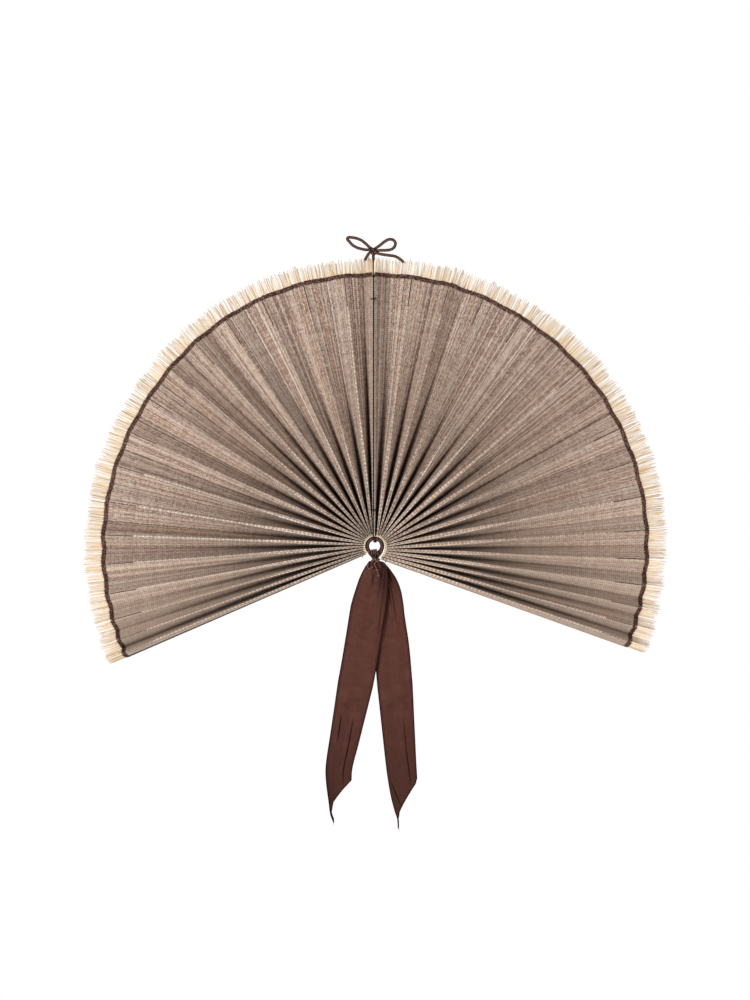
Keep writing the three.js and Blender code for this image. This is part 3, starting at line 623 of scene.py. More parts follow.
def ribbon_finish():
    net = Finish("plain_cotton")
    weave = net.group(plain_weave, {"Thread Pitch": 0.4, "Unevenness": 0.5})
    place = net.place()
    x, y, _ = net.split(place)
    edge = abs(x)
    cloudy = net.noise(place, 0.035)
    base = net.blend(weave["Slub"].span(0.32, 0.68), srgb(68, 40, 33), srgb(88, 54, 46))
    off_line = abs(net.noise(net.stretched(place, 0.012, 0.034), 1.0, 2.0, 0.45) - 0.5)
    # Painted shade in the creases, in patches.
    crease = off_line.span(0.03, 0.0, 0.34) * cloudy.span(0.44, 0.58)
    # Painted shade in the folds by the knot, at the top right of the tails, broken into streaks.
    knot_fold_shade = y.span(56.0, 10.0) * x.span(6.0, 16.0)
    folds = net.noise(x + y * 0.12, 0.42, 1.0, 0.4, "1D").span(0.4, 0.55, 1.0, 0.35)
    # A painted highlight along the hem fold of each edge.
    hem_highlight = edge.span(24.6, 25.0) * edge.span(26.4, 26.0)
    stitch_line = 1.0 - abs(edge - 24.2).span(0.2, 0.7)
    stitch = stitch_line * (y * (TURN / 3.2)).sine().span(-0.35, 0.1)
    colour = net.coats(
        base,
        (cloudy.span(0.45, 0.75, 0.4), 96, 62, 53),
        # painted shade in the creases
        (crease, 46, 25, 21),
        # painted shade: darker towards the bottom of the tails
        (y.span(90.0, 380.0, 0.55), 48, 27, 23),
        # painted shade by the knot
        (knot_fold_shade * folds * 0.85, 30, 14, 12),
        # painted highlight on the hems
        (hem_highlight * 0.14, 116, 76, 64),
        # painted shade: dark rims along the ribbon's edges
        (edge.span(24.9, 25.9) * 0.95, 38, 12, 10),
        (stitch * 0.75, 44, 23, 20),
        (stitch_line * 0.45, 42, 22, 19),
        # painted shade in hollows, from ambient occlusion
        (net.hollow(0.03, 0.25, 0.92) * 0.95, 20, 9, 8))
    height = weave["Height"] + stitch * 1.6 - stitch_line * 1.2
    return net.done(colour, weave["Slub"].span(0.3, 0.7, 0.8, 0.95), height, 0.0001, 0.7, 0.03, 0.03)


woven_splints = woven_splints_finish()
bare_splints = bare_splints_finish()
hem_threads = hem_finish()
# The ring cord has painted shade along its outer and inner edges.
wound_cord = cord_finish("wound_ring_cord", (62, 39, 33), (114, 80, 69), (14, 6, 5), 0.6, shine=0.1, dull=0.95,
                         sides=((0.0, 3.2), (10.21, 4.4), (20.42, 3.2)))
tie_cord = cord_finish("tie_cord_strands", (84, 59, 51), (150, 114, 100), (26, 15, 13), 0.7, dull=0.5, pit=0.2)
dark_cord = cord_finish("dark_twisted_cord", (58, 38, 33), (128, 94, 84), (14, 8, 7), 0.7)
seam_thread = cord_finish("red_brown_thread", (50, 23, 20), (98, 56, 48), (24, 8, 7), 0.75)
ribbon_cotton = ribbon_finish()
pale_thread = cord_finish("pale_edge_thread", (150, 122, 100), (196, 172, 146), (96, 70, 54), 0.75, dull=0.3)


# The mats: straight crease lines, and panels that stand between them

def crease(side, index, angles):
    u = index / (len(angles) - 1)
    if side > 0:
        offset = 2.5 * (1 - u) ** 2 - 4 * math.sin(math.pi * u) + 6 * u ** 3
    else:
        offset = 1.5 + 14.5 * u ** 4
    angle = math.radians(angles[index]) - side * math.asin(offset / CREASE_CIRCLE)
    toward = np.array([math.cos(angle), math.sin(angle)])
    start = np.array([-side * math.sin(angle), side * math.cos(angle)]) * offset
    return lambda r: np.asarray(r, float)[..., None] * toward + start


def seam_line(r):
    return spread(SEAM_X, np.asarray(r, float))


NAMES = {1: "left", -1: "right"}
lines = {side: [crease(side, index, angles) for index in range(len(angles))]
         for side, angles in ((1, LEFT_CREASES), (-1, RIGHT_CREASES))}
by_the_seam = (lines[1][0], lines[-1][0])
LAST_PLEAT = len(LEFT_CREASES) - 2
DEPTH_STATIONS = np.array([MAT_ROOT, 240.0, 350.0, HEM_START, HEM_START + 0.6, HEM_END])


def width_between(line_a, line_b, r):
    return np.linalg.norm(line_b(r) - line_a(r), axis=-1)


def fold_depth(line_a, line_b, r):
    wide = width_between(line_a, line_b, DEPTH_STATIONS)
    deep = np.sqrt(np.maximum(PANEL_WIDTH ** 2 - (wide / 2) ** 2, RIM_DEPTH ** 2))
    r = np.asarray(r, float)
    beyond = (deep[-1] - deep[-2]) / (DEPTH_STATIONS[-1] - DEPTH_STATIONS[-2])
    return np.interp(r, DEPTH_STATIONS, deep) + np.maximum(0, r - HEM_END) * beyond * 0.3


def seam_front(z):
    return float(WALL_Y - fold_depth(*by_the_seam, z))


RIM_ANGLES = [-25, -10, 10, 40, 50, 70, 90, 120, 145, 170, 205]
RIM_SWELL = [1.6, 1.8, 3.6, 3.8, 1.8, 1.6, 1.2, 3.0, 0.0, 1.2, 2.4]
FRINGE_EXTRA = [3.0, 2.6, 3.8, 2.4, 2.2, -1.0, -1.4, -0.8, 0.2, 1.2, 1.6]


def at_rim(line, values):
    """One of the rim's values, at the crease's direction from the right, up the left side."""
    x, z = line(400.0)
    heading = (math.degrees(math.atan2(z, x)) + 90) % 360 - 90
    return float(np.interp(heading, RIM_ANGLES, values))


def swollen(line, r):
    """A crease drawn a little further out at the rim, where the hand-cut edge strays."""
    r = np.asarray(r, float)
    return line(r + at_rim(line, RIM_SWELL) * held((r - 200) / 200))


def stand(line_a, line_b, r, s, y):
    """Points at share s from one line to the other, a radius r out and at depth y."""
    a, b = swollen(line_a, r), swollen(line_b, r)
    wide = np.linalg.norm(b - a, axis=-1, keepdims=True)
    bulge = wide ** 2 / (8 * np.asarray(r, float)[..., None]) * (1 - (2 * s[..., None] - 1) ** 2)
    flat = a + (b - a) * s[..., None] + unit((a + b) / 2) * bulge
    return spread(flat[..., 0], y, flat[..., 1])


def soft_noise(seed, r, share):
    """A slow uneven swell along and across one panel, between -1 and 1."""
    rng = np.random.default_rng(seed)
    total = np.zeros(np.broadcast(r, share).shape)
    for _ in range(4):
        pace, cross = rng.uniform(0.006, 0.03), rng.uniform(0.5, 2.2)
        total = total + np.sin(pace * r + cross * share * math.pi + rng.uniform(0, 6.3))
    return total / 4


class Panel:
    """One flat run of splints from a crease at the wall to the front edge of its fold."""

    def __init__(self, line_a, line_b, seed, half=False, depth_lines=None, blunt=0.3):
        self.line_a, self.line_b, self.seed, self.blunt = line_a, line_b, seed, blunt
        self.half, self.depth_lines = half, depth_lines or (line_a, line_b)

    def section(self, r, t, thick, front, stand_out):
        """Share and depth of points on the front or back face, t from the crease to the fold."""
        wide = width_between(self.line_a, self.line_b, r)
        span = wide - SEAM_OPENING if self.half else wide / 2
        deep = fold_depth(*self.depth_lines, r)
        leg = np.minimum(thick, 0.42 * span)
        x = self.reach(r, t, span) * (span - leg) - CREASE_LAP + (0 if front else leg)
        y = WALL_Y - (thick if front else 0) + t * (thick - deep)
        slope = np.hypot(span, deep)
        shift = (-1 if front else 1) * stand_out * leg / np.maximum(thick, 1e-6)
        x = x + deep / slope * shift
        y = y + span / slope * shift
        if front:
            rounding = np.exp(-t * PANEL_WIDTH / 0.9) - np.exp(-(1 - t) * PANEL_WIDTH / 0.9)
            y = y - 0.3 * rounding * np.where(rounding < 0, 1, 0.6)
        return x / wide, y

    def reach(self, r, t, span):
        """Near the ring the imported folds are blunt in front, with narrow gaps between them."""
        blunt = self.blunt * held((BLUNT_END - r) / (BLUNT_END - 50)) ** 0.7
        cap = np.clip(0.9 * blunt * span / PANEL_WIDTH, 0.02, 0.12)
        turn = held((t - 1 + cap) / cap)
        return (1 - blunt) * t + blunt * (1 - np.sqrt(1 - turn ** 2))

    def rim_wave(self, r, t):
        """The woven edge stands a little further out at the folds than in the creases."""
        swing = 0.55 * np.sin((t - 0.5) * math.pi) * (0.4 if self.half else 1.0)
        dip = -2.2 * held((t - 0.93) / 0.07) if self.half else 0.0
        return held((r - 340.0) / 78.0) ** 2 * (swing + dip)

    def points(self, r, t, thick, front, stand_out):
        r, t = np.broadcast_arrays(np.asarray(r, float), np.asarray(t, float))
        share, y = self.section(r, t, thick, front, stand_out)
        return stand(self.line_a, self.line_b, r + self.rim_wave(r, t), share, y)


MAT_ROWS = np.array([15.05, 17, 19.6, 27, 38, 55, 80, 110, 145, 180, 215, 240, 270, 300, 330, 350, 375,
                     400, 417.8])
HEM_ROWS, HEM_LIFT = np.array([(417.4, -0.3), (417.9, 0.12), (419.4, 0.3), (421.6, 0.3), (423.6, 0.12),
                               (424.2, -0.3)]).T[..., None]
COLUMNS = 2 * SPLINTS_A_PANEL + 1

# The finishes of a dressed pleat, in the order in which its mesh has them
MAT, HEM, BARE, EDGE_THREAD, LACE_THREAD = range(5)


def panel_places(number, t, r):
    return spread(PANEL_STEP * number + t * PANEL_WIDTH, r)


def crests(depth):
    """Where each splint's crest and groove lie across a panel, and how high."""
    return np.linspace(0, 1, COLUMNS), np.where(np.arange(COLUMNS) % 2 == 1, 0.0, -depth)


def weave_mat(shape, panel, number, mirrored):
    t, crest = crests(0.22)
    crest[0] = crest[-1] = 0.0
    t = np.concatenate([t, [0.9625, 0.985, 0.9925, 0.9975]])
    order = np.argsort(t, kind="stable")
    t, crest = t[order], np.concatenate([crest, [-0.1, -0.03, -0.01, 0.0]])[order]
    r = MAT_ROWS[:, None]
    swell = 0.55 * soft_noise(panel.seed, r, t) * np.sin(math.pi * t) * held((r - 40) / 120)
    front = panel.points(r, t, MAT_THICKNESS, True, crest + swell - 0.05)
    back = panel.points(r, t, MAT_THICKNESS, False, crest - swell - 0.05)
    shape.slab(front, back, panel_places(number, t, r), MAT, mirrored)


def weave_hem(shape, panel, number, mirrored):
    t, crest = crests(0.14)
    rng = np.random.default_rng(panel.seed + 5)
    thread_ends = np.repeat(rng.uniform(-0.6, 0.6, (len(HEM_ROWS), SPLINTS_A_PANEL + 1)), 2, axis=1)
    uneven = 0.3 * soft_noise(panel.seed + 5, HEM_ROWS * 0 + 1, t * 7) + thread_ends[:, :COLUMNS]
    front, back = [panel.points(HEM_ROWS + uneven, t, MAT_THICKNESS + 0.3, face, HEM_LIFT + crest)
                   for face in (True, False)]
    shape.slab(front, back, panel_places(number, t, HEM_ROWS), HEM, mirrored)


def bare_ends(shape, panel, number, mirrored):
    """Loose splint ends beyond the woven edge, one by one, each its own length and lean."""
    rng = np.random.default_rng(900 + number)
    drop = rng.uniform(-1.4, 1.4)
    usual = FRINGE_LENGTH + at_rim(panel.line_a, FRINGE_EXTRA) + drop
    clump = np.interp(np.arange(ENDS_A_PANEL), np.arange(0, ENDS_A_PANEL + 4, 4),
                      rng.normal(0, 0.022, (ENDS_A_PANEL + 7) // 4))
    for k in range(ENDS_A_PANEL):
        if rng.random() < 0.05:
            continue
        t = np.clip((k + 0.5 + rng.uniform(-0.32, 0.32)) / ENDS_A_PANEL, 0.012, 0.985)
        length = usual + rng.uniform(-2.6, 4.0) - (rng.uniform(2, 7) if rng.random() < 0.14 else 0)
        if rng.random() < 0.04:
            length *= rng.uniform(0.25, 0.6)
        broad = rng.uniform(0.4, 0.62)
        thin = rng.uniform(0.2, 0.3)
        r = HEM_END + np.array([-3.0, 0.6, length * 0.45, length * 0.96, length])
        beyond = (r - HEM_END).clip(0)
        lean = (clump[k] + rng.normal(0, 0.022)) * beyond ** 1.15 / PANEL_WIDTH
        line, near, far = [panel.points(r, share, MAT_THICKNESS, True, -MAT_THICKNESS / 2)
                           for share in (np.clip(t + lean, -0.01, 1.0), max(0.0, t - 0.05), min(1.0, t + 0.05))]
        line[:, 1] += rng.normal(0, 0.025) * beyond
        ahead = unit(np.gradient(line, axis=0))
        across = far - near
        across = unit(across - ahead * (across * ahead).sum(1)[:, None])
        keep = np.array([1, 1, 0.95, 0.85, 0.45])[:, None]
        a, n = across * broad * keep, np.cross(ahead, across) * thin * keep
        ring = np.stack([line - a - n * 0.4, line + n, line + a - n * 0.4, line - n], 1)
        own = PANEL_STEP * number + 1000 * k + rng.uniform(0, 0.9)
        places = spread(own + np.linspace(0, 0.98, 5), r[:, None])
        shape.sheet(ring, places, BARE, closed=True, turned=not mirrored)
        shape.lid(ring[-1], places[-1, 0], BARE, turned=not mirrored)


def weave_panel(shape, panel, number, mirrored):
    for work in (weave_mat, weave_hem, bare_ends):
        work(shape, panel, number, mirrored)


def selvedge(shape, line, other):
    """The cut side of the mat is bound with a thin thread."""
    r = np.linspace(MAT_ROOT + 1, HEM_END - 1, 40)
    flat = line(r) - unit(other(r) - line(r)) * 0.35
    route = spread(flat[:, 0], WALL_Y - 0.55, flat[:, 1])
    twisted_cord(shape, route, 1.3, plies=2, lay=3.2, finish=EDGE_THREAD, sides=8)


def lace(shape, first, last, finish, ends=False):
    """A run of the thread that laces the folds' roots, with its knot beyond the last fold."""
    spots = [first, (first + last) / 2, last]
    if ends:
        spots.append(last + 1.55 * unit(last - first))
    route = [[x, FRONT_Y + PANEL_WIDTH / 2, z] for x, z in spots]
    thread(shape, route, 1.2, each=6, finish=finish)
    if ends:
        knot(shape, route[-1], (2.2, 2.2, 2.2), 0.9, finish)


def fold_parts(side, index):
    """A fold's two creases, the number of its first panel, and its body's name."""
    number = FIRST_PANEL + 2 * index + (SIDE_STEP if side < 0 else 0)
    return *lines[side][index:index + 2], number, f"{NAMES[side]}_pleat_{index + 1:02d}"


def dress_fold_edge(side, index):
    """The outermost splints of a fold keep their thickness when the mat beside them is folded flat."""
    near, far, number, body = fold_parts(side, index)
    r = np.append(MAT_ROWS[1:], 423.4)[:, None]
    wide = width_between(near, far, r)
    girth = round_steps(8)
    share = 0.5 + np.minimum(EDGE_WIDTH, 0.042 * wide) / 2 * np.cos(girth) / wide
    y = WALL_Y - fold_depth(near, far, r) + 0.5 - (0.5 + np.where(r > HEM_START, 0.35, 0.0)) * np.sin(girth)
    rows = stand(near, far, np.broadcast_to(r, share.shape), share, y)
    u = PANEL_STEP * number + PANEL_WIDTH - 1.4 + 1.3 * np.abs(np.sin(np.linspace(0, math.pi, 9)))
    places = spread(u, r)
    shape = Shape()
    shape.sheet(rows[:-3], places[:-3], MAT, closed=True)
    shape.sheet(rows[-4:], places[-4:], HEM, closed=True)
    shape.lid(rows[0], places[0, 0], MAT, turned=True)
    shape.lid(rows[-1], places[-1, 0], HEM)
    shape.piece(f"{NAMES[side]}_fold_edge_{index + 1:02d}", [woven_splints, hem_threads], body)


def dress_pleat(side, index):
    near, far, number, node = fold_parts(side, index)
    shape = Shape()
    blunt = 0.36 + (0.06 if side > 0 else 0.28) * index / LAST_PLEAT
    for k, (a, b) in enumerate(((near, far), (far, near))):
        panel = Panel(a, b, 1000 * (side > 0) + 20 * index + k, blunt=blunt)
        weave_panel(shape, panel, number + k, (side > 0) == (k == 0))
    lace(shape, near(LACING_R), far(LACING_R), LACE_THREAD, index == LAST_PLEAT)
    if index == LAST_PLEAT:
        selvedge(shape, far, near)
    finishes = [woven_splints, hem_threads, bare_splints, seam_thread if side > 0 else pale_thread, pale_thread]
    made = shape.piece(f"dressed_{node}", finishes, node, [node])
    middle = (near(300.0) + far(300.0)) / 2
    along = unit(middle - (near(0.0) + far(0.0)) / 2)
    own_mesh(made)


def dress_centre_panel(side):
    shape = Shape()
    panel = Panel(lines[side][0], seam_line, 77 + side, half=True, depth_lines=by_the_seam)
    weave_panel(shape, panel, FIRST_CENTRE_PANEL + (side < 0), side < 0)
    node = f"{NAMES[side]}_centre_panel"
    made = shape.piece(f"dressed_{node}", [woven_splints, hem_threads, bare_splints], "hub", [node])
    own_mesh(made)


for pleat in range(LAST_PLEAT + 1):
    dress_pleat(1, pleat)
    dress_pleat(-1, pleat)
    dress_fold_edge(1, pleat)
    dress_fold_edge(-1, pleat)
dress_centre_panel(1)
dress_centre_panel(-1)


# The ring, wound all round with fine cord, and two strands that cross below it

RING_WINDS = 72
STRAND_X = 0.6


def dress_ring():
    shape = Shape()
    steps = RING_WINDS * 4
    around = round_steps(steps)[:, None]
    section = round_steps(20)
    radius = RING_CORD / 2 - 0.16 + 0.16 * np.abs(np.cos((RING_WINDS * around + section) / 2)) ** 0.6
    out = RING_RADIUS + radius * np.cos(section)
    rows = np.stack([out * np.cos(around), radius * np.sin(section), out * np.sin(around)], 2)
    girth = np.linspace(0, TURN, 21)
    ply = (RING_WINDS * np.linspace(0, TURN, steps + 1)[:, None] + girth) / TURN + 0.5
    shape.sheet([*rows, rows[0]], spread(ply, girth * 3.25), 0, closed=True)
    for way, gap in ((-1, 9.6), (1, 5.6)):
        route = [(10.8, -0.4, -5.4), (10.3, -2.4, -8.8), (7.8, -5.4, -13.0), (4.0, -6.8 - gap / 2, -16.6),
                 (0, -8.6 - gap, -20.0), (-3.6, -8.8 - gap, -23.4), (-5.6, -8.2 - gap * 0.7, -26.4)]
        twisted_cord(shape, soft_line([[STRAND_X + way * x, y, z] for x, y, z in route]), 3.6, lay=4.2, finish=1)
    shape.piece("dressed_ring", [wound_cord, tie_cord], "hub", ["ring"])


dress_ring()


# The seam: a cord down its front, a loop over the ring, and two stitched ties

def wedge_seat(z, radius):
    """How far behind the seam's front edge something round can lie."""
    narrow = min(float(width_between(line, seam_line, z)) for line in by_the_seam)
    slope = math.atan2(narrow, WALL_Y - seam_front(z))
    return MAT_THICKNESS + (radius + 2 * CLEARANCE) / math.sin(slope)


seam_knot_z = HEM_START + 1.5
seam_knot_y = seam_front(seam_knot_z) + wedge_seat(seam_knot_z, 2.0)
bow_stand_y = wedge_seat(UPPER_TIE_Z, BOW_CORD / 2) + HEM_SWELL


def dress_seam_cord():
    shape = Shape()
    r = SEAM_CORD / 2
    hug = RING_CORD / 2 + COIL_SLACK + r
    points = [[SEAM_X, seam_knot_y, seam_knot_z]]
    for z in np.arange(seam_knot_z, MAT_ROOT + 12, -33):
        points.append([SEAM_X, seam_front(z) - CLEARANCE - r, z])
    points.append([SEAM_X * 0.8, FRONT_Y - CLEARANCE - r - 0.9, MAT_ROOT - 0.7])
    for i in range(9):
        angle = math.pi * (0.86 + 0.155 * i)
        points.append([(i - 3) * 0.42, hug * math.cos(angle), RING_RADIUS + hug * math.sin(angle)])
    thread(shape, points, SEAM_CORD, sides=10)
    knot(shape, points[0], (4.4, 4.0, 4.4), 1.9)
    knot(shape, (0.6, -0.6, RING_RADIUS - hug - 0.2), (6.6, 5.0, 3.0), 1.5)
    shape.piece("dressed_seam_cord", [seam_thread], "hub", ["seam_cord"])


def dress_tie(name, z, back):
    shape = Shape()
    front = seam_front(z) - CLEARANCE - SEAM_CORD - CLEARANCE - TIE_THREAD / 2
    rear = seam_front(z) + back
    boxy = lambda v: np.sign(v) * np.abs(v) ** 0.6
    angle = round_steps(16)
    loop = spread(SEAM_X + TIE_SPAN / 2 * boxy(np.cos(angle)),
                  (front + rear) / 2 + (rear - front) / 2 * boxy(np.sin(angle)), z)
    thread(shape, loop, TIE_THREAD, closed=True)
    front = float(loop[:, 1].min())
    knot(shape, (SEAM_X + 1.3, front - 0.4, z), (4.2, 2.6, 3.2), 1.4)
    x = SEAM_X + 0.6
    for lean, drop in ((2.3, -3.2), (2.9, 1.4)):
        tail = [[x, front - 0.4, z], [x + lean * 0.5, front - 1.0, z + drop * 0.4],
                [x + lean, front - 0.6, z + drop]]
        thread(shape, tail, 1.0)
    shape.piece(f"dressed_{name}", [seam_thread], "hub", [name])


def dress_lacing(side):
    shape = Shape()
    lace(shape, seam_line(LACING_R), lines[side][0](LACING_R), 0)
    made = shape.piece(f"dressed_{NAMES[side]}_lacing", [pale_thread], "hub",
                       ["root_lacing"] if side > 0 else ())
    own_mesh(made)


dress_seam_cord()
dress_tie("upper_seam_tie", UPPER_TIE_Z, bow_stand_y + BOW_CORD / 2 + CLEARANCE + TIE_THREAD)
dress_tie("lower_seam_tie", LOWER_TIE_Z, MAT_THICKNESS + CLEARANCE + 2 * TIE_THREAD)
dress_lacing(1)
dress_lacing(-1)


# The ribbon: two long tails that fall from one gather, and the cord that ties it to the ring

TURN_PITCH = 2.9
coil_r = RING_CORD / 2 + COIL_SLACK + TIE_CORD / 2
neck_y = -(coil_r + TIE_CORD / 2 + 2 + 2.2)
neck_top = -RING_RADIUS - coil_r - TIE_CORD / 2 - 0.6
neck_drop = 1.75 * TURN_PITCH
gather_y = neck_y - 3
gather_z = neck_top - TIE_CORD - neck_drop - COIL_SLACK - 6
front_tail_y = gather_y - 2.8
back_tail_y = gather_y + 2.8
tail_top = gather_z - 6
cord_front_y = front_tail_y - 1.3 - RIBBON_THICKNESS - TIE_CORD / 2 - 2


def dress_gather():
    """The ribbon's gathered top: a folded neck in the turns of cord, opening over a puffed knot."""
    shape = Shape()
    rows = np.array([
        (neck_top + 2.9, 4.9, 1.9, neck_y), (neck_top - 3.5, 4.4, 1.95, neck_y),
        (neck_top - 5.2, 4.6, 2.1, neck_y - 0.2), (gather_z + 8.8, 9.0, 3.0, neck_y - 1.6),
        (gather_z + 7.0, 12.4, 4.4, neck_y - 2.4), (gather_z + 4.0, 15.0, 5.3, gather_y),
        (gather_z - 2, 17.0, 5.6, gather_y),
        (gather_z - 6, 16.4, 3.6, gather_y), (gather_z - 10, 14.0, 1.8, gather_y)])
    z = np.linspace(rows[0, 0], rows[-1, 0], 46)[:, None]
    wide, deep, middle_y = [np.interp(-z, -rows[:, 0], rows[:, k]) for k in (1, 2, 3)]
    angle = round_steps(96)
    folds = 1 + (0.1 * np.sin(9 * angle + 0.8 + 0.02 * z)
                 + 0.05 * np.sin(17 * angle - 0.05 * z)) * np.clip((neck_top - 5 - z) / 10, 0.25, 1)
    x = RIBBON_X + 0.11 * (wide - 4.5) + wide * np.cos(angle) * (1 + 0.3 * (folds - 1))
    shape.tube(spread(x, middle_y + deep * np.sin(angle) * folds, z), spread(np.linspace(-20, 20, 97), z),
               turned=True)
    shape.piece("dressed_ribbon_gather", [ribbon_cotton], "hub", ["ribbon_gather"])


def dress_tie_cord():
    shape = Shape()
    low = lambda x, y, z: [x, cord_front_y + y, gather_z + z]
    points = [low(-4.6, -0.4, -0.5), low(-7.6, -0.8, -3.2), low(-10.6, 0, -0.8), low(-10.2, 1.6, 4.6),
              low(-7.6, 6.4, 8.2)]
    turn_x = 4.5 + COIL_SLACK + TIE_CORD / 2
    turn_y = 2 + COIL_SLACK + TIE_CORD / 2
    for i in range(15):
        angle = math.pi * (1.25 + i / 4)
        points.append([RIBBON_X + turn_x * math.cos(angle), neck_y + turn_y * math.sin(angle),
                       neck_top - TIE_CORD / 2 - neck_drop + TURN_PITCH * i / 8])
    points.append([RIBBON_X - turn_x + 0.4, -coil_r - 2.4, -RING_RADIUS - coil_r - 0.6])
    for i in range(25):
        angle = math.pi * (1.12 + i / 4)
        x = TURN_PITCH * (i / 8 - 1.5)
        lift = RING_RADIUS - math.sqrt(RING_RADIUS ** 2 - x ** 2)
        points.append([x, coil_r * math.cos(angle), -RING_RADIUS + lift - coil_r * math.sin(angle)])
    points += [[6, neck_y - 4, neck_top + 2.6], [3.4, cord_front_y + 0.2, neck_top - 4.4],
               low(-0.4, 0, 4.4), low(2.6, 0, -2), low(4.6, 0, -8), low(5.4, 0, -13.4)]
    twisted_cord(shape, soft_line(points), TIE_CORD, lay=2.8)
    for spot in (low(3.4, 0, -4.4), points[-1], points[0]):
        knot(shape, spot, (6.0, 4.6, 5.6), 2.3)
    knot(shape, (RIBBON_X - 0.8, -0.8, coil_r - RING_RADIUS + 0.3), (7.0, 6.0, 4.4), 2.0)
    x, y, z = points[-1]
    for _ in range(7):
        lean = random.uniform(-1.4, 1.4)
        wisp = [[x + lean * 0.3, y, z - 1.6], [x + lean * 0.7, y + random.uniform(-0.6, 0.4), z - 3.4],
                [x + lean * 1.3, y + random.uniform(-0.8, 0.6), z - random.uniform(4.4, 5.6)]]
        thread(shape, wisp, 0.42, sides=5, each=5)
    shape.piece("dressed_ring_tie_cord", [tie_cord], "hub", ["ring_tie_cord"])


class Tail:
    """One tail of the ribbon: the line that it hangs on, its folds and its slanted cut."""

    def __init__(self, route, y, length, cut, narrowing, phase, groove, pleat_depth, curl, creases, runs):
        self.line = soft_line([[RIBBON_X + x, 0, tail_top - part * length] for x, part in route], each=60)
        lengths = way_along(self.line)
        self.along = lengths / lengths[-1]
        self.y, self.length, self.cut, self.narrowing, self.phase = y, length, cut, narrowing, phase
        self.groove, self.pleat_depth, self.curl = groove, pleat_depth, curl
        self.creases, self.runs = creases, runs

    def drawn_width(self, v):
        drawn = 0.6 + 0.4 * np.minimum(1, v * self.length / 60) ** 0.4
        return RIBBON_WIDTH * drawn * (1 - self.narrowing * np.maximum(0, v - 0.45))

    def edges(self, v):
        wide = self.drawn_width(v)
        drops, shares = np.array(self.cut[::-1]).T
        kept = np.interp((1 - v) * self.length, drops, shares)
        return -wide / 2, (kept - 0.5) * wide

    def centre(self, v):
        return spread(*[np.interp(v, self.along, self.line[:, k]) for k in range(3)])

    def middle(self, v, share):
        """Points of the cloth's middle layer. Share runs from 0 at the left edge to 1."""
        v, share = np.broadcast_arrays(np.asarray(v, float), np.asarray(share, float))
        upright = held((v - 0.7) / 0.1)[..., None]
        ahead = unit(self.centre(v + 0.004) - self.centre(v - 0.004))
        ahead = unit(ahead * (1 - upright) + np.array([0, 0, -1]) * upright)
        across = spread(-ahead[..., 2], np.zeros_like(v), ahead[..., 0])
        low, high = self.edges(v)
        u = low + (high - low) * share
        part = u / self.drawn_width(v)
        y = self.y + 0.9 * (1 - 0.35 * v) * np.sin(TURN * (1.6 + 0.9 * (1 - v)) * part + self.phase + 1.2 * v)
        y = y + np.sin(TURN * 4.6 * part + 1.3 + self.phase * 2 + 5 * v) * np.exp(-v / 0.07) * self.pleat_depth
        y = y + self.groove * np.exp(-((u + 6.1 - 110 * v) / 0.8) ** 2) * np.exp(-(v / 0.06) ** 4)
        for u0, u1, v0, v1, deep in self.runs:
            part_way = held((v - v0) / (v1 - v0))
            y = y + deep * np.exp(-((u - u0 - (u1 - u0) * part_way) / 0.9) ** 2) * np.sin(math.pi * part_way) ** 0.5
        y = y - self.curl * held((v - 0.62) / 0.3) * held(-part - 0.12) ** 1.5 * 20
        for at, bend, deep, width in self.creases:
            y = y + deep * np.exp(-((v - at - bend * (2 * part) ** 2) / width) ** 2) * np.exp(-(part / 0.36) ** 4)
        out = self.centre(v) + across * u[..., None]
        out[..., 1] = y
        angle = math.radians(78) * (2 * share - 1)
        facing = -1 if self.y < gather_y else 1
        ripple = 0.35 * np.sin(9 * angle + self.phase)
        hug = spread(RIBBON_X + 1.4 + 16.8 * np.sin(angle), gather_y + facing * (6.4 * np.cos(angle) + ripple),
                        gather_z + 3.6 - 6.0 * np.cos(angle))
        top = held(1 - v / 0.055)[..., None] ** 1.6
        return out * (1 - top) + hug * top

    def cloth(self, name, body, node):
        """The tail's cloth with its hems, and the area of its middle layer in square metres."""
        shape = Shape()
        v = np.concatenate([np.linspace(0, 0.14, 40)[:-1], np.linspace(0.14, 0.83, 90)[:-1],
                            np.linspace(0.83, 1, 40)])[:, None]
        share = np.linspace(0, 1, 61)
        middle = self.middle(v, share)
        normal = np.cross(np.gradient(middle, axis=1), np.gradient(middle, axis=0))
        normal /= np.maximum(1e-6, np.linalg.norm(normal, axis=2))[..., None]
        normal = np.where(normal[..., 1:2] > 0, normal, -normal)
        low, high = self.edges(v)
        rim = np.minimum(share, 1 - share) * (high - low)
        hem = held((4.2 - rim) / 0.8) * held(rim / 0.5 + 0.35)
        thick = normal * (RIBBON_THICKNESS / 2 * (0.62 + 0.5 * hem)[..., None])
        a, b, c, d = middle[:-1, :-1], middle[:-1, 1:], middle[1:, 1:], middle[1:, :-1]
        area = sum(np.linalg.norm(np.cross(p - a, q - a), axis=2).sum() / 2 for p, q in ((b, c), (c, d)))
        to_edge = RIBBON_WIDTH / 2 - rim
        places = spread(np.where(share < 0.5, -to_edge, to_edge), v * self.length)
        shape.slab(middle - thick, middle + thick, places)
        return shape.piece(name, [ribbon_cotton], body, [node]), area * MM * MM

    def frays(self, name, body, drop):
        """Loose threads that hang from the point of the tail."""
        shape = Shape()
        for k in range(9):
            v = 1 - 0.02 * (k % 3) * random.random()
            start = self.middle(v, 0.2 + 0.6 * random.random())
            length = drop if k < 2 else drop * random.uniform(0.15, 0.5)
            lean = random.uniform(-0.18, 0.28)
            points = [start, start + np.array([lean * length * 0.4, random.uniform(-0.5, 0.3), -length * 0.5]),
                      start + np.array([lean * length * 1.2, random.uniform(-0.8, 0.5), -length])]
            thread(shape, points, 0.5, lay=4, sides=5, each=8)
        return shape.piece(name, [dark_cord], body)


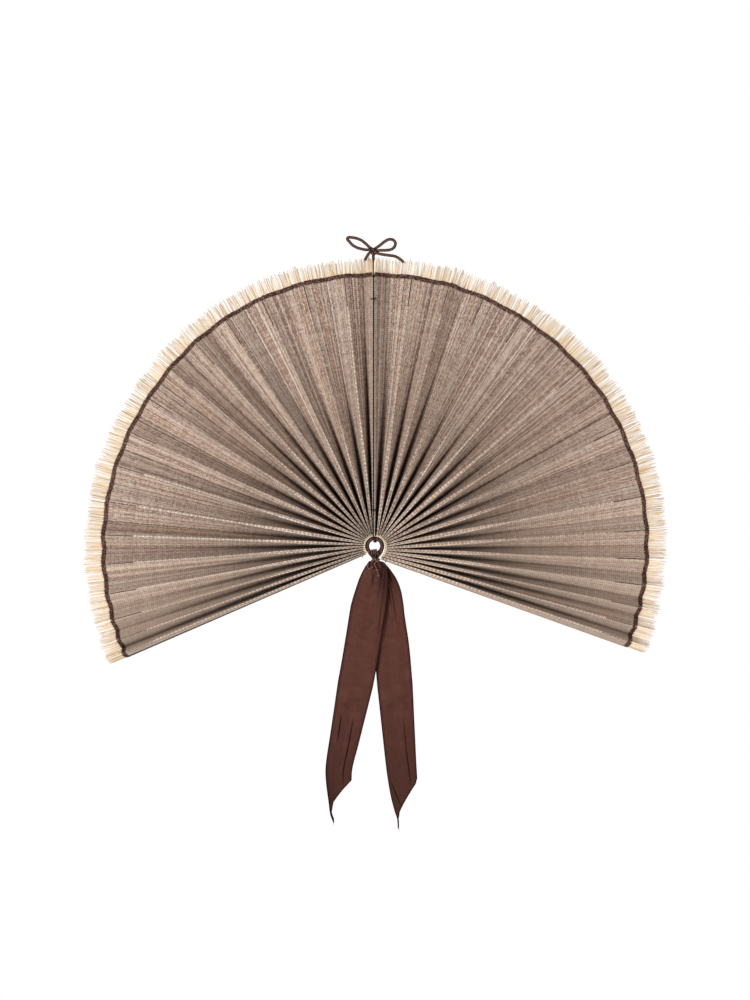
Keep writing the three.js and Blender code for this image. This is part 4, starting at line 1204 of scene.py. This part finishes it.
FRONT_ROUTE = [(0, 0), (-5, 0.07), (-10.7, 0.139), (-18.5, 0.262), (-27.5, 0.399), (-37.5, 0.532), (-47, 0.655),
               (-56.8, 0.788), (-57, 0.84), (-54.5, 0.921), (-52.8, 0.97), (-49, 1)]
BACK_ROUTE = [(0, 0), (13, 0.076), (17.5, 0.177), (24.5, 0.295), (29.5, 0.433), (35.5, 0.625), (41.3, 0.8),
              (45.6, 0.877), (50.9, 0.9365), (54.3, 0.965), (55, 1)]


def dress_tails():
    front = Tail(FRONT_ROUTE, front_tail_y, FRONT_TAIL_LENGTH, FRONT_TAIL_CUT, 0.72, 0.4, 2.6, 1.3, 2.0,
                 [(0.128, -0.03, 1.3, 0.008), (0.526, 0.012, 0.5, 0.004)],
                 [(-11.7, -10, 0.575, 0.69, 3.2), (7.3, 8.4, 0.58, 0.74, 3.0), (8.4, 6.7, 0.7, 0.86, 2.6),
                  (19, 22, 0.05, 0.3, 2.0)])
    back = Tail(BACK_ROUTE, back_tail_y, BACK_TAIL_LENGTH, BACK_TAIL_CUT, 0.45, 2.1, 0.0, 2.0, 0.0,
                [(0.3, 0.02, 0.5, 0.02)],
                [(9.9, 10, 0.57, 0.74, 2.2), (10, 12.7, 0.7, 0.84, 2.6), (-19, -8.3, 0.81, 0.92, 2.6),
                 (3, 9, 0.02, 0.16, 2.6), (9, 15, 0.03, 0.22, 2.2)])
    for tail, body in ((front, "ribbon_front"), (back, "ribbon_back")):
        cloth, area = tail.cloth(f"{body}_cloth", body, f"{body}_tail")
        frays = tail.frays(f"{body}_frays", body, 4.5)


dress_gather()
dress_tie_cord()
dress_tails()


# The bow of twisted cord that stands over the fringe

bow_y = seam_front(UPPER_TIE_Z) + bow_stand_y
behind_knot_y = seam_knot_y + 2 + 2 * CLEARANCE + BOW_CORD / 2
BOW_KNOT = np.array([SEAM_X, bow_y, 458.0])
LEFT_LOOP = [[0, 0, -1], [-6, -1.5, 2.4], [-12, -2.5, 2.6], [-20, -3, 4.2], [-27, -3, 6.6],
             [-33, -3, 10.4], [-37.4, -2.6, 15.4], [-40.6, -2, 19.4], [-39, -1.6, 21.8], [-35.6, -1.4, 22],
             [-28.6, -1, 21], [-19.7, -0.5, 18], [-11.8, 0, 12.1], [-5.9, 1, 6.6], [0, 1, 3]]
RIGHT_LOOP = [[0, 0, 3], [4.6, 0.5, 5.8], [10, 1, 9.6], [16.9, 0.5, 15.1], [23.9, 0, 18.8],
              [30.3, -0.5, 18.3], [34.2, -1.5, 13.8], [33, -2.5, 7.6], [27.8, -3, 3.2], [17.9, -3, 1.7],
              [9, -2, 1.6], [0, 0, -1]]
LEFT_END = [[0, -1, -1], [-5.5, -4.6, -2], [-10, -5.2, -8], [-13.4, -5.2, -14]]
RIGHT_END = [[0, -1, -1], [6, -4.6, -3], [14, -5, -4.8], [24, -5, -6.2], [33.8, -4.8, -7.8],
             [40.7, -5.2, -11.6], [47, -5.2, -17]]


def dress_bow():
    shape = Shape()
    stem = [[bow_y, BOW_KNOT[2]], [bow_y + 2, BOW_KNOT[2] - 12], [behind_knot_y, HEM_END],
            [behind_knot_y, seam_knot_z - 6], [bow_y, UPPER_TIE_Z + 9], [bow_y, UPPER_TIE_Z],
            [bow_y, UPPER_TIE_Z - 7]]
    parts = [np.array(part) + BOW_KNOT for part in (LEFT_LOOP, RIGHT_LOOP, LEFT_END, RIGHT_END)]
    for part in (*parts, [[SEAM_X, y, z] for y, z in stem]):
        twisted_cord(shape, soft_line(part), BOW_CORD, lay=2.4, sides=14)
    knot(shape, BOW_KNOT - [0, 1, 0], (12.4, 10.6, 13.8), 4.8)
    for *_, before, tip in parts[2:]:
        ahead = unit(tip - before)
        for _ in range(6):
            sway = np.array([random.uniform(-0.35, 0.35), random.uniform(-0.2, 0.2), random.uniform(-0.35, 0.35)])
            wisp = [tip - ahead, tip + ahead * 1.2 + sway, tip + ahead * 2.6 + sway * 3]
            thread(shape, wisp, 0.7, sides=5, each=5)
    shape.piece("dressed_bow_cord", [dark_cord], "hub", ["bow_cord"])


dress_bow()


# A plain studio: pale floor, soft lamps, white behind everything

def studio():
    world = bpy.data.worlds.new("studio")
    bpy.context.scene.world = world
    world.use_nodes = True
    world.node_tree.nodes.clear()
    net = Net(world.node_tree)
    rays = net.wires("ShaderNodeLightPath")
    seen = net.maths("MAXIMUM", rays["Is Camera Ray"], rays["Is Glossy Ray"])
    seen = net.maths("MAXIMUM", seen, rays["Is Transmission Ray"])
    soft, white = [net.add("Background", {0: (1, 1, 1, 1), 1: strength}) for strength in (WORLD_LIGHT, 1.0)]
    both = net.add("MixShader", {0: seen, 1: soft, 2: white})
    net.node("ShaderNodeOutputWorld", {0: both})
    bpy.context.scene.view_settings.view_transform = "Standard"
    for name, place, size, power in LAMPS:
        data = bpy.data.lights.new(name, "AREA")
        data.size = size
        data.energy = power
        lamp = bpy.data.objects.new(name, data)
        lamp.location = place
        lamp.rotation_euler = (-Vector(place)).to_track_quat("-Z", "Y").to_euler()
        bpy.context.collection.objects.link(lamp)


def floor():
    mesh = bpy.data.meshes.new("floor")
    mesh.from_pydata([(x, y, FLOOR_Z) for x, y in FLOOR_CORNERS], [], [(0, 1, 2, 3)])
    net = Finish("pale_floor")
    cloud = net.noise(net.add("TexCoord", out="Object"), 3.0, 4.0)
    colour = net.blend(cloud, srgb(232, 231, 229), srgb(244, 243, 241))
    mesh.materials.append(net.done(colour, cloud.span(0.3, 0.7, 0.85, 0.7), cloud, 0.0005, 0.3))
    made = bpy.data.objects.new("floor", mesh)
    bpy.context.collection.objects.link(made)


studio()
floor()
